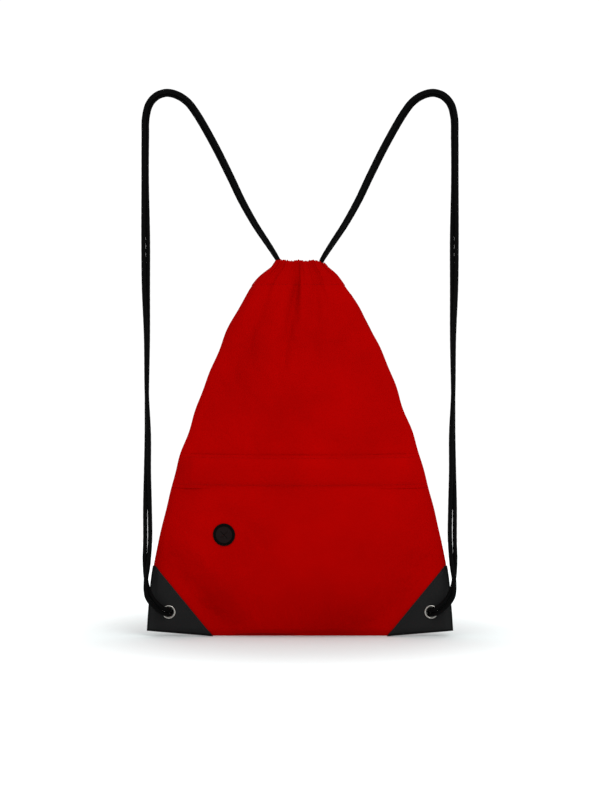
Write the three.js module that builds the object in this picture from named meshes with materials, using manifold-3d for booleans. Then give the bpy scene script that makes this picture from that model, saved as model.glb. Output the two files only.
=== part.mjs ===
// A drawstring backpack (gym sack) with a zipped front pocket, hung up by its two pairs of cords.
// Millimetres, +Z up. The front faces -Y and the wearer's left cord is at -X.
// The origin is midway between the two pegs that carry the cords, level with the cords' undersides.
import * as THREE from "three";
import { mergeVertices } from "three/addons/utils/BufferGeometryUtils.js";
import Module from "manifold-3d";

const wasm = await Module();
wasm.setup();

// ---------------------------------------------------------------- driving dimensions

const HANG_DROP = 600; // from the pegs down to the bottom edge
const GAP = 0.3; // air between neighbouring pieces

// The outline: height above the bottom edge, then half the width there.
const OUTLINE = [
  [0, 170.5], [30, 168.5], [70, 164.5], [120, 154], [175, 140], [230, 123],
  [280, 105.5], [335, 83], [375, 61], [400, 44.5], [410, 34], [418, 27],
];
// How far the stuffed bag stands out from the seam plane along its middle.
const FRONT_BULGE = [
  [0, 0], [18, 8], [50, 18], [95, 26], [140, 29], [190, 28],
  [250, 26], [320, 23], [375, 19.5], [395, 17.5], [418, 15.5],
];
const BACK_BULGE = [
  [0, 0], [18, 6], [50, 15], [95, 22], [140, 25], [190, 24],
  [250, 22], [320, 20], [375, 18], [395, 17], [418, 15.5],
];
const CORNER_RISE = 6; // the bottom edge climbs this much from the patches' inner ends to the corners

const CLOTH = 1.0; // gathered and hemmed polyester, drawn thicker than the bare cloth
const LINING = 0.5;
const TAPE = 1.0; // the bound seam allowance
const PATCH = 0.9; // coated corner patch
const LINING_SHARE = 0.8; // the empty pocket's lining follows the front at this share of its bulge

const PATCH_FOOT = 97.6; // where a patch's slanting edge meets the bottom edge
const PATCH_TOP_X = 163.3;
const PATCH_TOP_H = 80.5;

const LIP_FOOT = 391; // lower edge of the drawcord channel, and the line about which it parts
const LIP_TOP = 418;
const TUNNEL_HEIGHT = 407;
const TUNNEL_RADIUS = 5.7;
const CHANNEL_HALF = 20; // half the length of the gathered channel

const CORD_RADIUS = 2.5;
const PAIR_HALF = 2.7; // half the distance between two strands that lie together
const STRAP_STEPS = 60;
const CORD_SIDES = 8;

const ZIP_HEIGHT = 190;
const ZIP_HALF = 118; // half the length of the tapes
const ZIP_TRAVEL_X = 104; // the slider goes from -this to +this
const TEETH_GAP = 1.1; // between the two rows of coil, where the slider's neck passes
const COIL_WIDTH = 2.7;
const COIL_THICK = 2.2;
const ZIP_TAPE_WIDTH = 13;
const ZIP_WINDOW = 11; // the slot between the two front panels

const FLAP_TOP = 203;
const FLAP_FOOT = 166;
const FLAP_HALF = 124;

const EYELET_X = 146.5;
const EYELET_HEIGHT = 27;
const EYELET_HOLE = 5.8;

const PORT_X = -84.2;
const PORT_HEIGHT = 114;
const PORT_RADIUS = 11.5;

// ---------------------------------------------------------------- materials

const material = (color, roughness, metalness = 0) =>
  new THREE.MeshStandardMaterial({ color, roughness, metalness });
const RED_CLOTH = material(0xa00505, 0.62);
const DARK_LINING = material(0x6e0606, 0.7);
const BLACK_CORD = material(0x0b0b0c, 0.7);
const COATED_BLACK = material(0x18181a, 0.5);
const NICKEL = material(0xb9bcc0, 0.25, 1);
const BLACK_RUBBER = material(0x111112, 0.6);
const RED_NYLON = material(0x8c0404, 0.45);

// ---------------------------------------------------------------- the bag's surface

const { clamp, lerp, smoothstep } = THREE.MathUtils;

// A smooth value through hand-set stations [at, value].
function through(stations, at) {
  const n = stations.length;
  if (at <= stations[0][0]) return stations[0][1];
  if (at >= stations[n - 1][0]) return stations[n - 1][1];
  const i = stations.findIndex(([s]) => s > at) - 1;
  const slope = (a, b) => (b[1] - a[1]) / (b[0] - a[0]);
  const [p, q] = [stations[i], stations[i + 1]];
  const here = slope(p, q);
  const before = i > 0 ? (slope(stations[i - 1], p) + here) / 2 : here;
  const after = i < n - 2 ? (here + slope(q, stations[i + 2])) / 2 : here;
  const span = q[0] - p[0];
  const t = (at - p[0]) / span;
  return (
    p[1] * (1 + 2 * t) * (1 - t) ** 2 +
    before * span * t * (1 - t) ** 2 +
    q[1] * t * t * (3 - 2 * t) +
    after * span * t * t * (t - 1)
  );
}

const halfWidth = (h) => through(OUTLINE, h);
const bottomEdge = (x) =>
  CORNER_RISE * clamp((Math.abs(x) - PATCH_FOOT) / (halfWidth(0) - PATCH_FOOT), 0, 1);

// How far a point lies beyond a patch's slanting edge, towards the corner.
const patchRun = new THREE.Vector2(PATCH_TOP_X - PATCH_FOOT, PATCH_TOP_H).normalize();
const pastPatchEdge = (x, h) => (Math.abs(x) - PATCH_FOOT) * patchRun.y - h * patchRun.x;

// The stuffing's bulge at a point: a lens across the bag that rounds off towards the
// gathered top and dies away where the eyelets hold front and back together.
function bulge(x, h, stations) {
  const wide = halfWidth(h);
  const deep = through(stations, h);
  if (deep < 0.01 || Math.abs(x) >= wide) return 0;
  const radius = (wide * wide + deep * deep) / (2 * deep);
  const arc = clamp((Math.sqrt(radius * radius - x * x) - radius + deep) / deep, 0, 1);
  const rounding = lerp(1, 0.5, smoothstep(h, 250, 395));
  return deep * arc ** rounding * (1 - smoothstep(pastPatchEdge(x, h), -50, -8));
}

// The two faces of the bag: which way they look, their bulge, and how far from the seam
// plane the cloth starts. The front also has the lining inside it.
const FRONT = { way: -1, stations: FRONT_BULGE, start: TAPE / 2 + GAP + LINING + GAP };
const BACK = { way: 1, stations: BACK_BULGE, start: TAPE / 2 + GAP };

const onFace = (face, offset) => (x, h) =>
  face.way * (face.start + offset + bulge(x, h, face.stations));

// A closed solid between two surfaces y = near(x, h) and y = far(x, h) over a grid of
// (x, h) points: place(u, v) gives the point, with u and v from 0 to 1.
function slab(place, columns, rows, near, far) {
  const points = [];
  const faces = [];
  const at = (layer, i, j) => (layer * (rows + 1) + j) * (columns + 1) + i;
  for (const surface of [near, far])
    for (let j = 0; j <= rows; j++)
      for (let i = 0; i <= columns; i++) {
        const [x, h] = place(i / columns, j / rows);
        points.push(x, surface(x, h), h);
      }
  const quad = (a, b, c, d) => faces.push(a, b, c, a, c, d);
  for (let j = 0; j < rows; j++)
    for (let i = 0; i < columns; i++) {
      quad(at(0, i, j), at(0, i + 1, j), at(0, i + 1, j + 1), at(0, i, j + 1));
      quad(at(1, i, j), at(1, i, j + 1), at(1, i + 1, j + 1), at(1, i + 1, j));
    }
  for (let i = 0; i < columns; i++) {
    quad(at(0, i, 0), at(1, i, 0), at(1, i + 1, 0), at(0, i + 1, 0));
    quad(at(0, i + 1, rows), at(1, i + 1, rows), at(1, i, rows), at(0, i, rows));
  }
  for (let j = 0; j < rows; j++) {
    quad(at(0, 0, j + 1), at(1, 0, j + 1), at(1, 0, j), at(0, 0, j));
    quad(at(0, columns, j), at(1, columns, j), at(1, columns, j + 1), at(0, columns, j + 1));
  }
  const geometry = new THREE.BufferGeometry();
  geometry.setAttribute("position", new THREE.Float32BufferAttribute(points, 3));
  geometry.setIndex(faces);
  return geometry;
}

// A slab on one face of the bag, from offset inner to offset outer above the cloth's start.
function faceSlab(face, place, columns, rows, inner, outer) {
  const [low, high] = face.way < 0 ? [outer, inner] : [inner, outer];
  return slab(place, columns, rows, onFace(face, low), onFace(face, high));
}

// The cloth's layers share these rows and columns, so that their facets never cross.
const SLOT_FOOT = ZIP_HEIGHT - ZIP_WINDOW / 2;
const SLOT_HEAD = ZIP_HEIGHT + ZIP_WINDOW / 2;
const LINING_HEAD = ZIP_HEIGHT + 20;
const PANEL_HEAD = LIP_FOOT - 0.5;
const ROWS = [
  0, 12, 26, 42, 62, 84, 112, 148, SLOT_FOOT, SLOT_HEAD,
  LINING_HEAD, 245, 280, 315, 350, 374, PANEL_HEAD,
];
const COLUMNS = 14;

// A layer of the bag between two of the shared rows.
function layer(low, high, near, far) {
  const rows = ROWS.filter((h) => h >= low && h <= high);
  const place = (u, v) => {
    const h = rows[Math.round(v * (rows.length - 1))];
    const x = (2 * u - 1) * halfWidth(h);
    return [x, h || bottomEdge(x)];
  };
  return slab(place, COLUMNS, rows.length - 1, near, far);
}

// ---------------------------------------------------------------- joining and cutting

function solid(geometry) {
  const bare = (geometry.index ? geometry.toNonIndexed() : geometry.clone())
    .deleteAttribute("normal")
    .deleteAttribute("uv");
  const merged = mergeVertices(bare, 1e-3);
  return new wasm.Manifold(
    new wasm.Mesh({
      numProp: 3,
      vertProperties: merged.attributes.position.array,
      triVerts: new Uint32Array(merged.index.array),
    }),
  );
}

function shapeOf(manifold) {
  const mesh = manifold.getMesh();
  const geometry = new THREE.BufferGeometry();
  geometry.setAttribute(
    "position",
    new THREE.Float32BufferAttribute(Array.from(mesh.vertProperties), 3),
  );
  geometry.setIndex(Array.from(mesh.triVerts));
  return geometry;
}

const cut = (geometry, ...tools) =>
  shapeOf(tools.reduce((left, tool) => left.subtract(solid(tool)), solid(geometry)));
const common = (one, other) => shapeOf(solid(one).intersect(solid(other)));
const join = (...geometries) =>
  shapeOf(geometries.map(solid).reduce((all, next) => all.add(next)));

// A cylinder that lies along Y.
function rod(radius, length, x, y, h, segments = 16) {
  const geometry = new THREE.CylinderGeometry(radius, radius, length, segments);
  return geometry.translate(x, y, h);
}

const block = (wide, deep, high, x, y, h) =>
  new THREE.BoxGeometry(wide, deep, high).translate(x, y, h);

// A tube of round section along hand-set points.
function tube(points, radius, steps, sides = CORD_SIDES) {
  const section = new THREE.Shape();
  for (let i = 0; i < sides; i++) {
    const turn = (2 * Math.PI * i) / sides;
    section[i ? "lineTo" : "moveTo"](radius * Math.cos(turn), radius * Math.sin(turn));
  }
  section.closePath();
  return new THREE.ExtrudeGeometry(section, {
    steps,
    curveSegments: 1,
    bevelEnabled: false,
    extrudePath: new THREE.CatmullRomCurve3(points, false, "centripetal"),
  });
}

// ---------------------------------------------------------------- assembly

const backpack = new THREE.Group();
const bag = new THREE.Group(); // heights in here run up from the bottom edge
bag.position.z = -HANG_DROP;
backpack.add(bag);

function add(name, geometry, finish, parent = bag) {
  const mesh = new THREE.Mesh(geometry, finish);
  mesh.name = name;
  parent.add(mesh);
  return mesh;
}

// ---------------------------------------------------------------- cloth panels

const eyeletHoles = [-1, 1].map((side) =>
  rod(EYELET_HOLE + 1.2, 30, side * EYELET_X, 0, EYELET_HEIGHT),
);
function portFrame() {
  const touch = onFace(FRONT, CLOTH);
  const step = 1;
  const slopeX = (touch(PORT_X + step, PORT_HEIGHT) - touch(PORT_X - step, PORT_HEIGHT)) / (2 * step);
  const slopeH = (touch(PORT_X, PORT_HEIGHT + step) - touch(PORT_X, PORT_HEIGHT - step)) / (2 * step);
  const group = new THREE.Group();
  group.position.set(PORT_X, touch(PORT_X, PORT_HEIGHT) + 0.2, PORT_HEIGHT);
  const outward = new THREE.Vector3(slopeX, -1, slopeH).normalize();
  group.quaternion.setFromUnitVectors(new THREE.Vector3(0, -1, 0), outward);
  group.updateMatrix();
  return group;
}
const port = portFrame(); // its -Y axis points straight out of the cloth
bag.add(port);

function addPanels() {
  const portHole = rod(9, 14, 0, 0, 0).applyMatrix4(port.matrix);
  const front = [onFace(FRONT, CLOTH), onFace(FRONT, 0)];
  add("front_lower_panel", cut(layer(0, SLOT_FOOT, ...front), ...eyeletHoles, portHole), RED_CLOTH);
  add("front_upper_panel", layer(SLOT_HEAD, PANEL_HEAD, ...front), RED_CLOTH);

  const slack = (x, h) => (1 - LINING_SHARE) * bulge(x, h, FRONT_BULGE);
  const lining = layer(
    0,
    LINING_HEAD,
    (x, h) => onFace(FRONT, -GAP)(x, h) + slack(x, h),
    (x, h) => onFace(FRONT, -GAP - LINING)(x, h) + slack(x, h),
  );
  add("pocket_lining", cut(lining, ...eyeletHoles), DARK_LINING);

  const back = layer(0, PANEL_HEAD, onFace(BACK, 0), onFace(BACK, CLOTH));
  add("back_panel", cut(back, ...eyeletHoles), RED_CLOTH);
}

// Bound seam allowances, flat in the seam plane between front and back.
function addSeams() {
  const flat = (way) => () => (way * TAPE) / 2;
  const width = 10;
  const foot = 18;
  for (const [name, side] of [["side_seam_left", -1], ["side_seam_right", 1]]) {
    const place = (u, v) => {
      const h = lerp(foot, PANEL_HEAD - 8, v);
      const outer = halfWidth(h) - GAP;
      const [a, b] = side < 0 ? [-outer, width - outer] : [outer - width, outer];
      return [lerp(a, b, u), h];
    };
    add(name, slab(place, 1, 14, flat(-1), flat(1)), DARK_LINING);
  }
  const place = (u, v) => {
    const x = (2 * u - 1) * (halfWidth(0) - 4);
    return [x, bottomEdge(x) + v * width];
  };
  add("bottom_seam", slab(place, 14, 1, flat(-1), flat(1)), DARK_LINING);
}

// ---------------------------------------------------------------- corners

function addCorners() {
  const slant = (h) => PATCH_FOOT + (h * patchRun.x) / patchRun.y;
  const top = PATCH_TOP_H - 2;
  for (const [sideName, side] of [["left", -1], ["right", 1]]) {
    const corner = new THREE.Shape();
    corner.moveTo(side * slant(-5), -5);
    corner.lineTo(side * 200, -5);
    corner.lineTo(side * 200, top);
    corner.lineTo(side * slant(top), top);
    const prism = new THREE.ExtrudeGeometry(corner, { depth: 80, bevelEnabled: false });
    prism.translate(0, 0, -40).rotateX(Math.PI / 2);
    const [near, far] = [CLOTH + GAP, CLOTH + GAP + PATCH];
    const front = layer(0, 84, onFace(FRONT, far), onFace(FRONT, near));
    const back = layer(0, 84, onFace(BACK, near), onFace(BACK, far));
    const hole = rod(EYELET_HOLE + 1.2, 30, side * EYELET_X, 0, EYELET_HEIGHT);
    add(`corner_patch_front_${sideName}`, cut(common(front, prism), hole), COATED_BLACK);
    add(`corner_patch_back_${sideName}`, cut(common(back, prism), hole), COATED_BLACK);
    addEyelet(sideName, side);
  }
}

// A rolled eyelet through every layer of the corner, and the washer that it is set against.
function addEyelet(sideName, side) {
  const frontFace = FRONT.start + CLOTH + GAP + PATCH + GAP;
  const backFace = BACK.start + CLOTH + GAP + PATCH + GAP;
  const washer = 0.8;
  const rim = 0.9; // height of the rolled rims
  const barrel = EYELET_HOLE + 0.8;
  const ring = (pairs) => {
    const profile = pairs.map(([r, y]) => new THREE.Vector2(r, y));
    const geometry = new THREE.LatheGeometry([...profile, profile[0]], 18);
    return geometry.translate(side * EYELET_X, 0, EYELET_HEIGHT);
  };
  const eyelet = ring([
    [EYELET_HOLE, -frontFace - rim * 0.6],
    [EYELET_HOLE + 1.1, -frontFace - rim],
    [8.0, -frontFace - rim * 0.5],
    [8.3, -frontFace],
    [barrel, -frontFace],
    [barrel, backFace + washer + GAP],
    [7.6, backFace + washer + GAP],
    [7.4, backFace + washer + GAP + rim * 0.7],
    [EYELET_HOLE + 0.4, backFace + washer + GAP + rim * 0.7],
    [EYELET_HOLE, backFace + washer + GAP],
  ]);
  add(`eyelet_${sideName}`, eyelet, NICKEL);
  const flat = ring([
    [barrel + GAP, backFace],
    [9.0, backFace],
    [9.0, backFace + washer * 0.6],
    [8.4, backFace + washer],
    [barrel + GAP, backFace + washer],
  ]);
  add(`eyelet_washer_${sideName}`, flat, NICKEL);
}

// ---------------------------------------------------------------- drawcord channel

// The middle of the gathered channel, seen from above.
const tunnelDepth = (x) => 11.4 - 3.3 * (x / CHANNEL_HALF) ** 2;
const mouthDepth = (x) => 4.2 - 2.4 * (x / CHANNEL_HALF) ** 2;

function addLips() {
  for (const [name, face] of [["front_channel", FRONT], ["back_channel", BACK]]) {
    const outer = onFace(face, CLOTH);
    const skirtInner = (x, h) => {
      const out = Math.abs(outer(x, h));
      return face.way * Math.max(face.start, out - 4);
    };
    const channelInner = (x) => face.way * mouthDepth(x);
    const make = (place, columns, rows, inner) =>
      face.way < 0
        ? slab(place, columns, rows, outer, inner)
        : slab(place, columns, rows, inner, outer);
    const skirt = (u, v) => {
      const h = lerp(LIP_FOOT, LIP_FOOT + 6, v);
      return [(2 * u - 1) * (halfWidth(h) - 1), h];
    };
    const channel = (u, v) => [(2 * u - 1) * CHANNEL_HALF, lerp(LIP_FOOT + 4, LIP_TOP, v)];
    const lip = join(make(skirt, 12, 1, skirtInner), make(channel, 8, 4, channelInner));
    const path = [-1.3, -0.7, 0, 0.7, 1.3].map((s) => {
      const x = s * CHANNEL_HALF;
      return new THREE.Vector3(x, face.way * tunnelDepth(x), TUNNEL_HEIGHT);
    });
    add(name, cut(lip, tube(path, TUNNEL_RADIUS, 8, 10)), RED_CLOTH);
  }
}

// ---------------------------------------------------------------- cords

// The middle of a pair of strands, from the channel's end over the peg and down to the
// eyelet: distance out from the middle of the bag, y, height, the angle of the front strand
// about the pair in degrees (90 is straight in front), and half the strands' spacing.
const STRAP_ROUTE = [
  [CHANNEL_HALF - 1, 0, TUNNEL_HEIGHT + 2.8, 90, 8.1],
  [22.6, 0, 410.3, 90, 8.1],
  [25.2, 0, 413.4, 90, 8],
  [27.4, 0, 420, 90, 7.2],
  [31, 0, 429, 90, 5.4],
  [38.4, 0, 441, 90, 3.6],
  [49.8, 0, 458.7, 82, PAIR_HALF],
  [64.8, 0, 485.4, 70, PAIR_HALF],
  [77.5, 0, 512, 64, PAIR_HALF],
  [95.4, 0, 547.7, 60, PAIR_HALF],
  [115.9, 0, 583.2, 52, PAIR_HALF],
  [131, 0, 599.4, 46, PAIR_HALF],
  [147.6, 0, 604.2, 45, PAIR_HALF],
  [162, 0, 598, 45, PAIR_HALF],
  [169.6, -0.5, 584, 48, PAIR_HALF],
  [171.8, -1, 560, 50, PAIR_HALF],
  [172, -2, 510, 60, PAIR_HALF],
  [171.5, -3, 441, 62, PAIR_HALF],
  [171.3, -4, 390, 60, PAIR_HALF],
  [170.2, -5, 334, 76, PAIR_HALF],
  [170.4, -6, 270, 92, PAIR_HALF],
  [168.8, -7, 225, 126, PAIR_HALF],
  [169.8, -8, 185, 140, PAIR_HALF],
  [169.2, -9, 145, 150, PAIR_HALF],
  [169.2, -10, 110, 140, PAIR_HALF],
  [170.8, -11, 82, 112, PAIR_HALF],
  [170.6, -12, 62, 88, PAIR_HALF],
  [166.2, -13.2, 48.5, 58, PAIR_HALF],
  [158, -14, 37, 22, PAIR_HALF],
  [150.5, -12.4, 29.8, 0, PAIR_HALF],
  [146.9, -7, 27.3, 0, PAIR_HALF],
  [EYELET_X, -1, EYELET_HEIGHT, 0, PAIR_HALF],
  [EYELET_X, 5, EYELET_HEIGHT, 0, PAIR_HALF],
];

// One strand of the pair, carried along the route with a frame that never twists by itself.
function strand(side, front) {
  const middle = STRAP_ROUTE.map(([x, y, h]) => new THREE.Vector3(side * x, y, h));
  const heading = middle.map((p, i) =>
    middle[Math.min(i + 1, middle.length - 1)].clone().sub(middle[Math.max(i - 1, 0)]).normalize(),
  );
  const ahead = new THREE.Vector3(0, -1, 0);
  const aside = ahead.clone().cross(heading[0]).normalize().multiplyScalar(side);
  return middle.map((p, i) => {
    if (i) {
      const turn = new THREE.Quaternion().setFromUnitVectors(heading[i - 1], heading[i]);
      ahead.applyQuaternion(turn);
      aside.applyQuaternion(turn);
    }
    const angle = THREE.MathUtils.degToRad(STRAP_ROUTE[i][3]);
    const reach = (front ? 1 : -1) * STRAP_ROUTE[i][4];
    return p
      .clone()
      .addScaledVector(aside, reach * Math.cos(angle))
      .addScaledVector(ahead, reach * Math.sin(angle));
  });
}

// A drawcord's run through one side of the channel. The two cords swap places on the way:
// each leaves at the top at its own end, and turns back at the bottom at the other.
function channelRun(face, side) {
  const count = 11;
  return Array.from({ length: count }, (_, i) => {
    const x = lerp(-1.1, 1.1, i / (count - 1)) * CHANNEL_HALF;
    const angle = clamp((side * x) / CHANNEL_HALF, -1, 1) * (Math.PI / 2);
    const y = face.way * (tunnelDepth(x) + side * -2.8 * Math.cos(angle));
    return new THREE.Vector3(x, y, TUNNEL_HEIGHT + 2.8 * Math.sin(angle));
  });
}

function addCords() {
  const channelSpace = block(2 * CHANNEL_HALF, 60, 60, 0, 0, TUNNEL_HEIGHT);
  const beside = block(2 * (CHANNEL_HALF + GAP), 60, 60, 0, 0, TUNNEL_HEIGHT);
  for (const [sideName, side] of [["left", -1], ["right", 1]]) {
    for (const [faceName, front] of [["front", true], ["back", false]]) {
      const strap = cut(tube(strand(side, front), CORD_RADIUS, STRAP_STEPS), beside);
      add(`strap_${sideName}_${faceName}`, strap, BLACK_CORD);
    }
    for (const [faceName, face] of [["front", FRONT], ["back", BACK]]) {
      const run = common(tube(channelRun(face, side), CORD_RADIUS, 12), channelSpace);
      add(`drawcord_${sideName}_run_${faceName}`, run, BLACK_CORD);
    }

    // The cord turns back at the end of the channel that the other cord leaves by.
    const reach = tunnelDepth(CHANNEL_HALF);
    const turn = Array.from({ length: 11 }, (_, i) => {
      const angle = lerp(-0.6, 0.6, i / 10) * Math.PI;
      const x = CHANNEL_HALF + GAP + reach * Math.cos(angle);
      return new THREE.Vector3(-side * x, reach * Math.sin(angle), TUNNEL_HEIGHT - 2.8);
    });
    add(`drawcord_${sideName}_turn`, cut(tube(turn, CORD_RADIUS, 12), beside), BLACK_CORD);

    const knot = new THREE.SphereGeometry(8, 12, 8);
    knot.scale(1.15, 1, 1).translate(side * EYELET_X, 13.6, EYELET_HEIGHT);
    add(`knot_${sideName}`, knot, BLACK_CORD);
  }
}

// ---------------------------------------------------------------- zip

// Everything on the zip follows one arc, which a vertical axis behind the bag sweeps.
const zipBulge = through(FRONT_BULGE, ZIP_HEIGHT);
const zipRadius = (halfWidth(ZIP_HEIGHT) ** 2 + zipBulge ** 2) / (2 * zipBulge);
const zipArc = (x) => Math.sqrt(zipRadius * zipRadius - x * x) - zipRadius + zipBulge;
const coilMiddle = FRONT.start + 0.4; // how far the coil's middle stands from the seam plane
const zipAxisY = zipRadius - zipBulge - coilMiddle;

function addZip() {
  const lengthwise = (low, high, half) => (u, v) => [(2 * u - 1) * half, lerp(low, high, v)];
  const onArc = (offset) => (x) => -(coilMiddle + offset + zipArc(x));
  for (const [name, way] of [["upper", 1], ["lower", -1]]) {
    const coilNear = ZIP_HEIGHT + (way * TEETH_GAP) / 2;
    const coilFar = coilNear + way * COIL_WIDTH;
    const tapeNear = coilFar + way * GAP;
    const tapeFar = tapeNear + way * ZIP_TAPE_WIDTH;
    const between = (a, b, half) => lengthwise(Math.min(a, b), Math.max(a, b), half);
    const coil = between(coilNear, coilFar, ZIP_HALF - 6);
    add(
      `zip_coil_${name}`,
      slab(coil, 16, 1, onArc(COIL_THICK / 2), onArc(-COIL_THICK / 2)),
      RED_NYLON,
    );
    const tape = between(tapeNear, tapeFar, ZIP_HALF);
    add(`zip_tape_${name}`, faceSlab(FRONT, tape, 12, 2, -0.95, -0.55), RED_CLOTH);
  }
  // A folded tab closes each end of the coil.
  for (const [name, side] of [["left", -1], ["right", 1]]) {
    const low = ZIP_HALF - 5.5;
    const stop = slab(
      (u, v) => [side * lerp(low, low + 5, side < 0 ? 1 - u : u), ZIP_HEIGHT + (v - 0.5) * 6.4],
      1,
      1,
      onArc(1.3),
      onArc(-1),
    );
    add(`zip_stop_${name}`, stop, NICKEL);
  }
}

// The slider rides the coil on an arm that turns about the arc's own axis.
function addSlider() {
  const arm = new THREE.Group();
  arm.position.set(0, zipAxisY, ZIP_HEIGHT);
  arm.rotation.z = -Math.asin(ZIP_TRAVEL_X / zipRadius);
  bag.add(arm);
  const carriage = new THREE.Group();
  carriage.position.y = -zipRadius; // the coil's middle line
  arm.add(carriage);

  const plate = 1.0;
  const face = COIL_THICK / 2 + GAP;
  const body = join(
    block(11, plate, 8.6, 0, -face - plate / 2, 0),
    block(11, plate * 0.8, 6.2, 0, face + plate * 0.4, 0),
    block(4.5, 2 * face + 1, TEETH_GAP - 2 * GAP, 2.5, 0, 0),
    rod(1.1, 2.4, 0, -face - plate - 1, 0, 12),
    rod(1.9, 0.5, 0, -face - plate - 2.3, 0, 12),
  );
  add("zip_slider", body, NICKEL, carriage);

  const outline = new THREE.Shape();
  outline.absarc(0, 0, 3, 0, Math.PI, false);
  outline.lineTo(-2.4, -12);
  outline.absarc(0, -15.5, 3.4, Math.PI, 2 * Math.PI, false);
  outline.lineTo(2.4, -12);
  outline.closePath();
  outline.holes.push(new THREE.Path().absarc(0, 0, 1.5, 0, 2 * Math.PI, true));
  const pull = new THREE.ExtrudeGeometry(outline, { depth: 1.1, bevelEnabled: false, curveSegments: 6 });
  pull.rotateX(Math.PI / 2).translate(0, -face - plate - GAP - 0.1, 0);
  add("zip_pull", pull, NICKEL, carriage);
}

// The placket that hides the zip: sewn along its top, and free at its foot.
function addFlap() {
  const stand = (h) =>
    through([[FLAP_FOOT, 1.4], [FLAP_FOOT + 8, 4.6], [FLAP_FOOT + 16, 6.2], [ZIP_HEIGHT + 5, 6.0], [FLAP_TOP, 0.6]], h);
  const place = (u, v) => [(2 * u - 1) * FLAP_HALF, lerp(FLAP_FOOT, FLAP_TOP, v)];
  const outside = (extra) => (x, h) => onFace(FRONT, CLOTH)(x, h) - stand(h) - extra;
  add("zip_flap", slab(place, 12, 6, outside(1), outside(0)), RED_CLOTH);
}

// ---------------------------------------------------------------- earphone port

function addPort() {
  const bore = 5.2;
  const face = 1.6; // how far the rubber stands above the cloth
  const rim = [
    [bore, -face],
    [6.4, -face - 0.5],
    [9.6, -face - 0.5],
    [PORT_RADIUS - 0.4, -face + 0.2],
    [PORT_RADIUS, -0.6],
    [8.6, -0.6],
    [8.6, CLOTH + 0.9],
    [bore + 0.6, CLOTH + 0.9],
    [bore, -face + 1.2],
  ].map(([r, y]) => new THREE.Vector2(r, y));
  // A thin membrane closes the bore, slit crosswise into four petals.
  const membrane = rod(bore + 0.4, 0.7, 0, -face + 0.65, 0, 20);
  const slit = 2 * bore - 1.6;
  const grommet = cut(
    join(new THREE.LatheGeometry([...rim, rim[0]], 20), membrane),
    block(slit, 3, 0.5, 0, -face + 0.65, 0).rotateY(Math.PI / 4),
    block(slit, 3, 0.5, 0, -face + 0.65, 0).rotateY(-Math.PI / 4),
  );
  add("port_grommet", grommet, BLACK_RUBBER, port);

  const back = [
    [8.9, CLOTH + 0.7],
    [PORT_RADIUS - 1, CLOTH + 0.7],
    [PORT_RADIUS - 1, CLOTH + 1.2],
    [8.9, CLOTH + 1.2],
  ].map(([r, y]) => new THREE.Vector2(r, y));
  add("port_backing", new THREE.LatheGeometry([...back, back[0]], 20), BLACK_RUBBER, port);
}

addPanels();
addSeams();
addCorners();
addLips();
addCords();
addZip();
addSlider();
addFlap();
addPort();

export default backpack;
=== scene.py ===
"""The looks of a drawstring backpack that hangs by its two doubled cords.

Every length below is in millimetres unless its name says otherwise. Heights run up from the
bag's bottom edge, x runs to the wearer's right from the middle, and the front faces -y.
"""

from __future__ import annotations

import logging
import math
from dataclasses import dataclass, field
from enum import Enum
from typing import Callable, Sequence

import bmesh
import bpy
import numpy as np
from mathutils import Matrix, Vector

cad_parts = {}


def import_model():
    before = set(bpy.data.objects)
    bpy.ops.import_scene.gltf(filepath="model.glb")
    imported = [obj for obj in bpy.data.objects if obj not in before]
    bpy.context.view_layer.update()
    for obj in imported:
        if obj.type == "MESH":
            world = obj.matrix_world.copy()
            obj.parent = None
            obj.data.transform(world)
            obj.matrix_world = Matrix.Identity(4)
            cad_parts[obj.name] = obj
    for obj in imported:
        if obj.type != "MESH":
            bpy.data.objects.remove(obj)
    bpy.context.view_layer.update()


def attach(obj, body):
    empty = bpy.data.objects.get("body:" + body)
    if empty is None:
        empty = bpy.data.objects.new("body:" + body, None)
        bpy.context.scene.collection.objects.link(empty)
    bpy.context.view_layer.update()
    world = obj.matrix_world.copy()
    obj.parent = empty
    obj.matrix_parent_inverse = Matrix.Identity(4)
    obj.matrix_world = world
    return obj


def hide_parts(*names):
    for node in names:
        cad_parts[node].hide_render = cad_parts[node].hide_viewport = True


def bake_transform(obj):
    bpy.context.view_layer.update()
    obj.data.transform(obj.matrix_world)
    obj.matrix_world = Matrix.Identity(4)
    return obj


log = logging.getLogger("backpack")

MM = 0.001
HANG_DROP = 600.0  # from the hanging point down to the bottom edge
EYELET = (146.5, 27.0)  # the right eyelet's x, and both eyelets' height
Piece = bpy.types.Object
Material = bpy.types.Material
Point = tuple[float, float, float]
Curve = Sequence[tuple[float, float]]
Place = Callable[[float, float], Point]
SeamLine = Sequence[tuple[Vector, Vector]]


class Option(Enum):
    """A choice whose name is also a word in the names of nodes and bodies."""

    @property
    def word(self) -> str:
        """The name in small letters."""
        return self.name.lower()


class Side(Option):
    """Which half of the bag a piece belongs to, as the sign of its x."""

    LEFT = -1
    RIGHT = 1


class Face(Option):
    """Which face of the bag a piece lies on, as the sign of its y."""

    FRONT = -1
    BACK = 1

    @property
    def out(self) -> Vector:
        """The way that this face looks."""
        return Vector((0, self.value, 0))


# ------------------------------------------------------------------ small tools


def linear(hex_colour: str) -> tuple[float, float, float, float]:
    """Turns an sRGB hex colour of six digits into Blender's linear colour, fully opaque."""
    parts = [int(hex_colour[i : i + 2], 16) / 255 for i in (0, 2, 4)]
    r, g, b = (c / 12.92 if c <= 0.04045 else ((c + 0.055) / 1.055) ** 2.4 for c in parts)
    return r, g, b, 1.0


def clamp(value: float, low: float = 0.0, high: float = 1.0) -> float:
    """Keeps a value between two limits."""
    return min(max(value, low), high)


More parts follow.
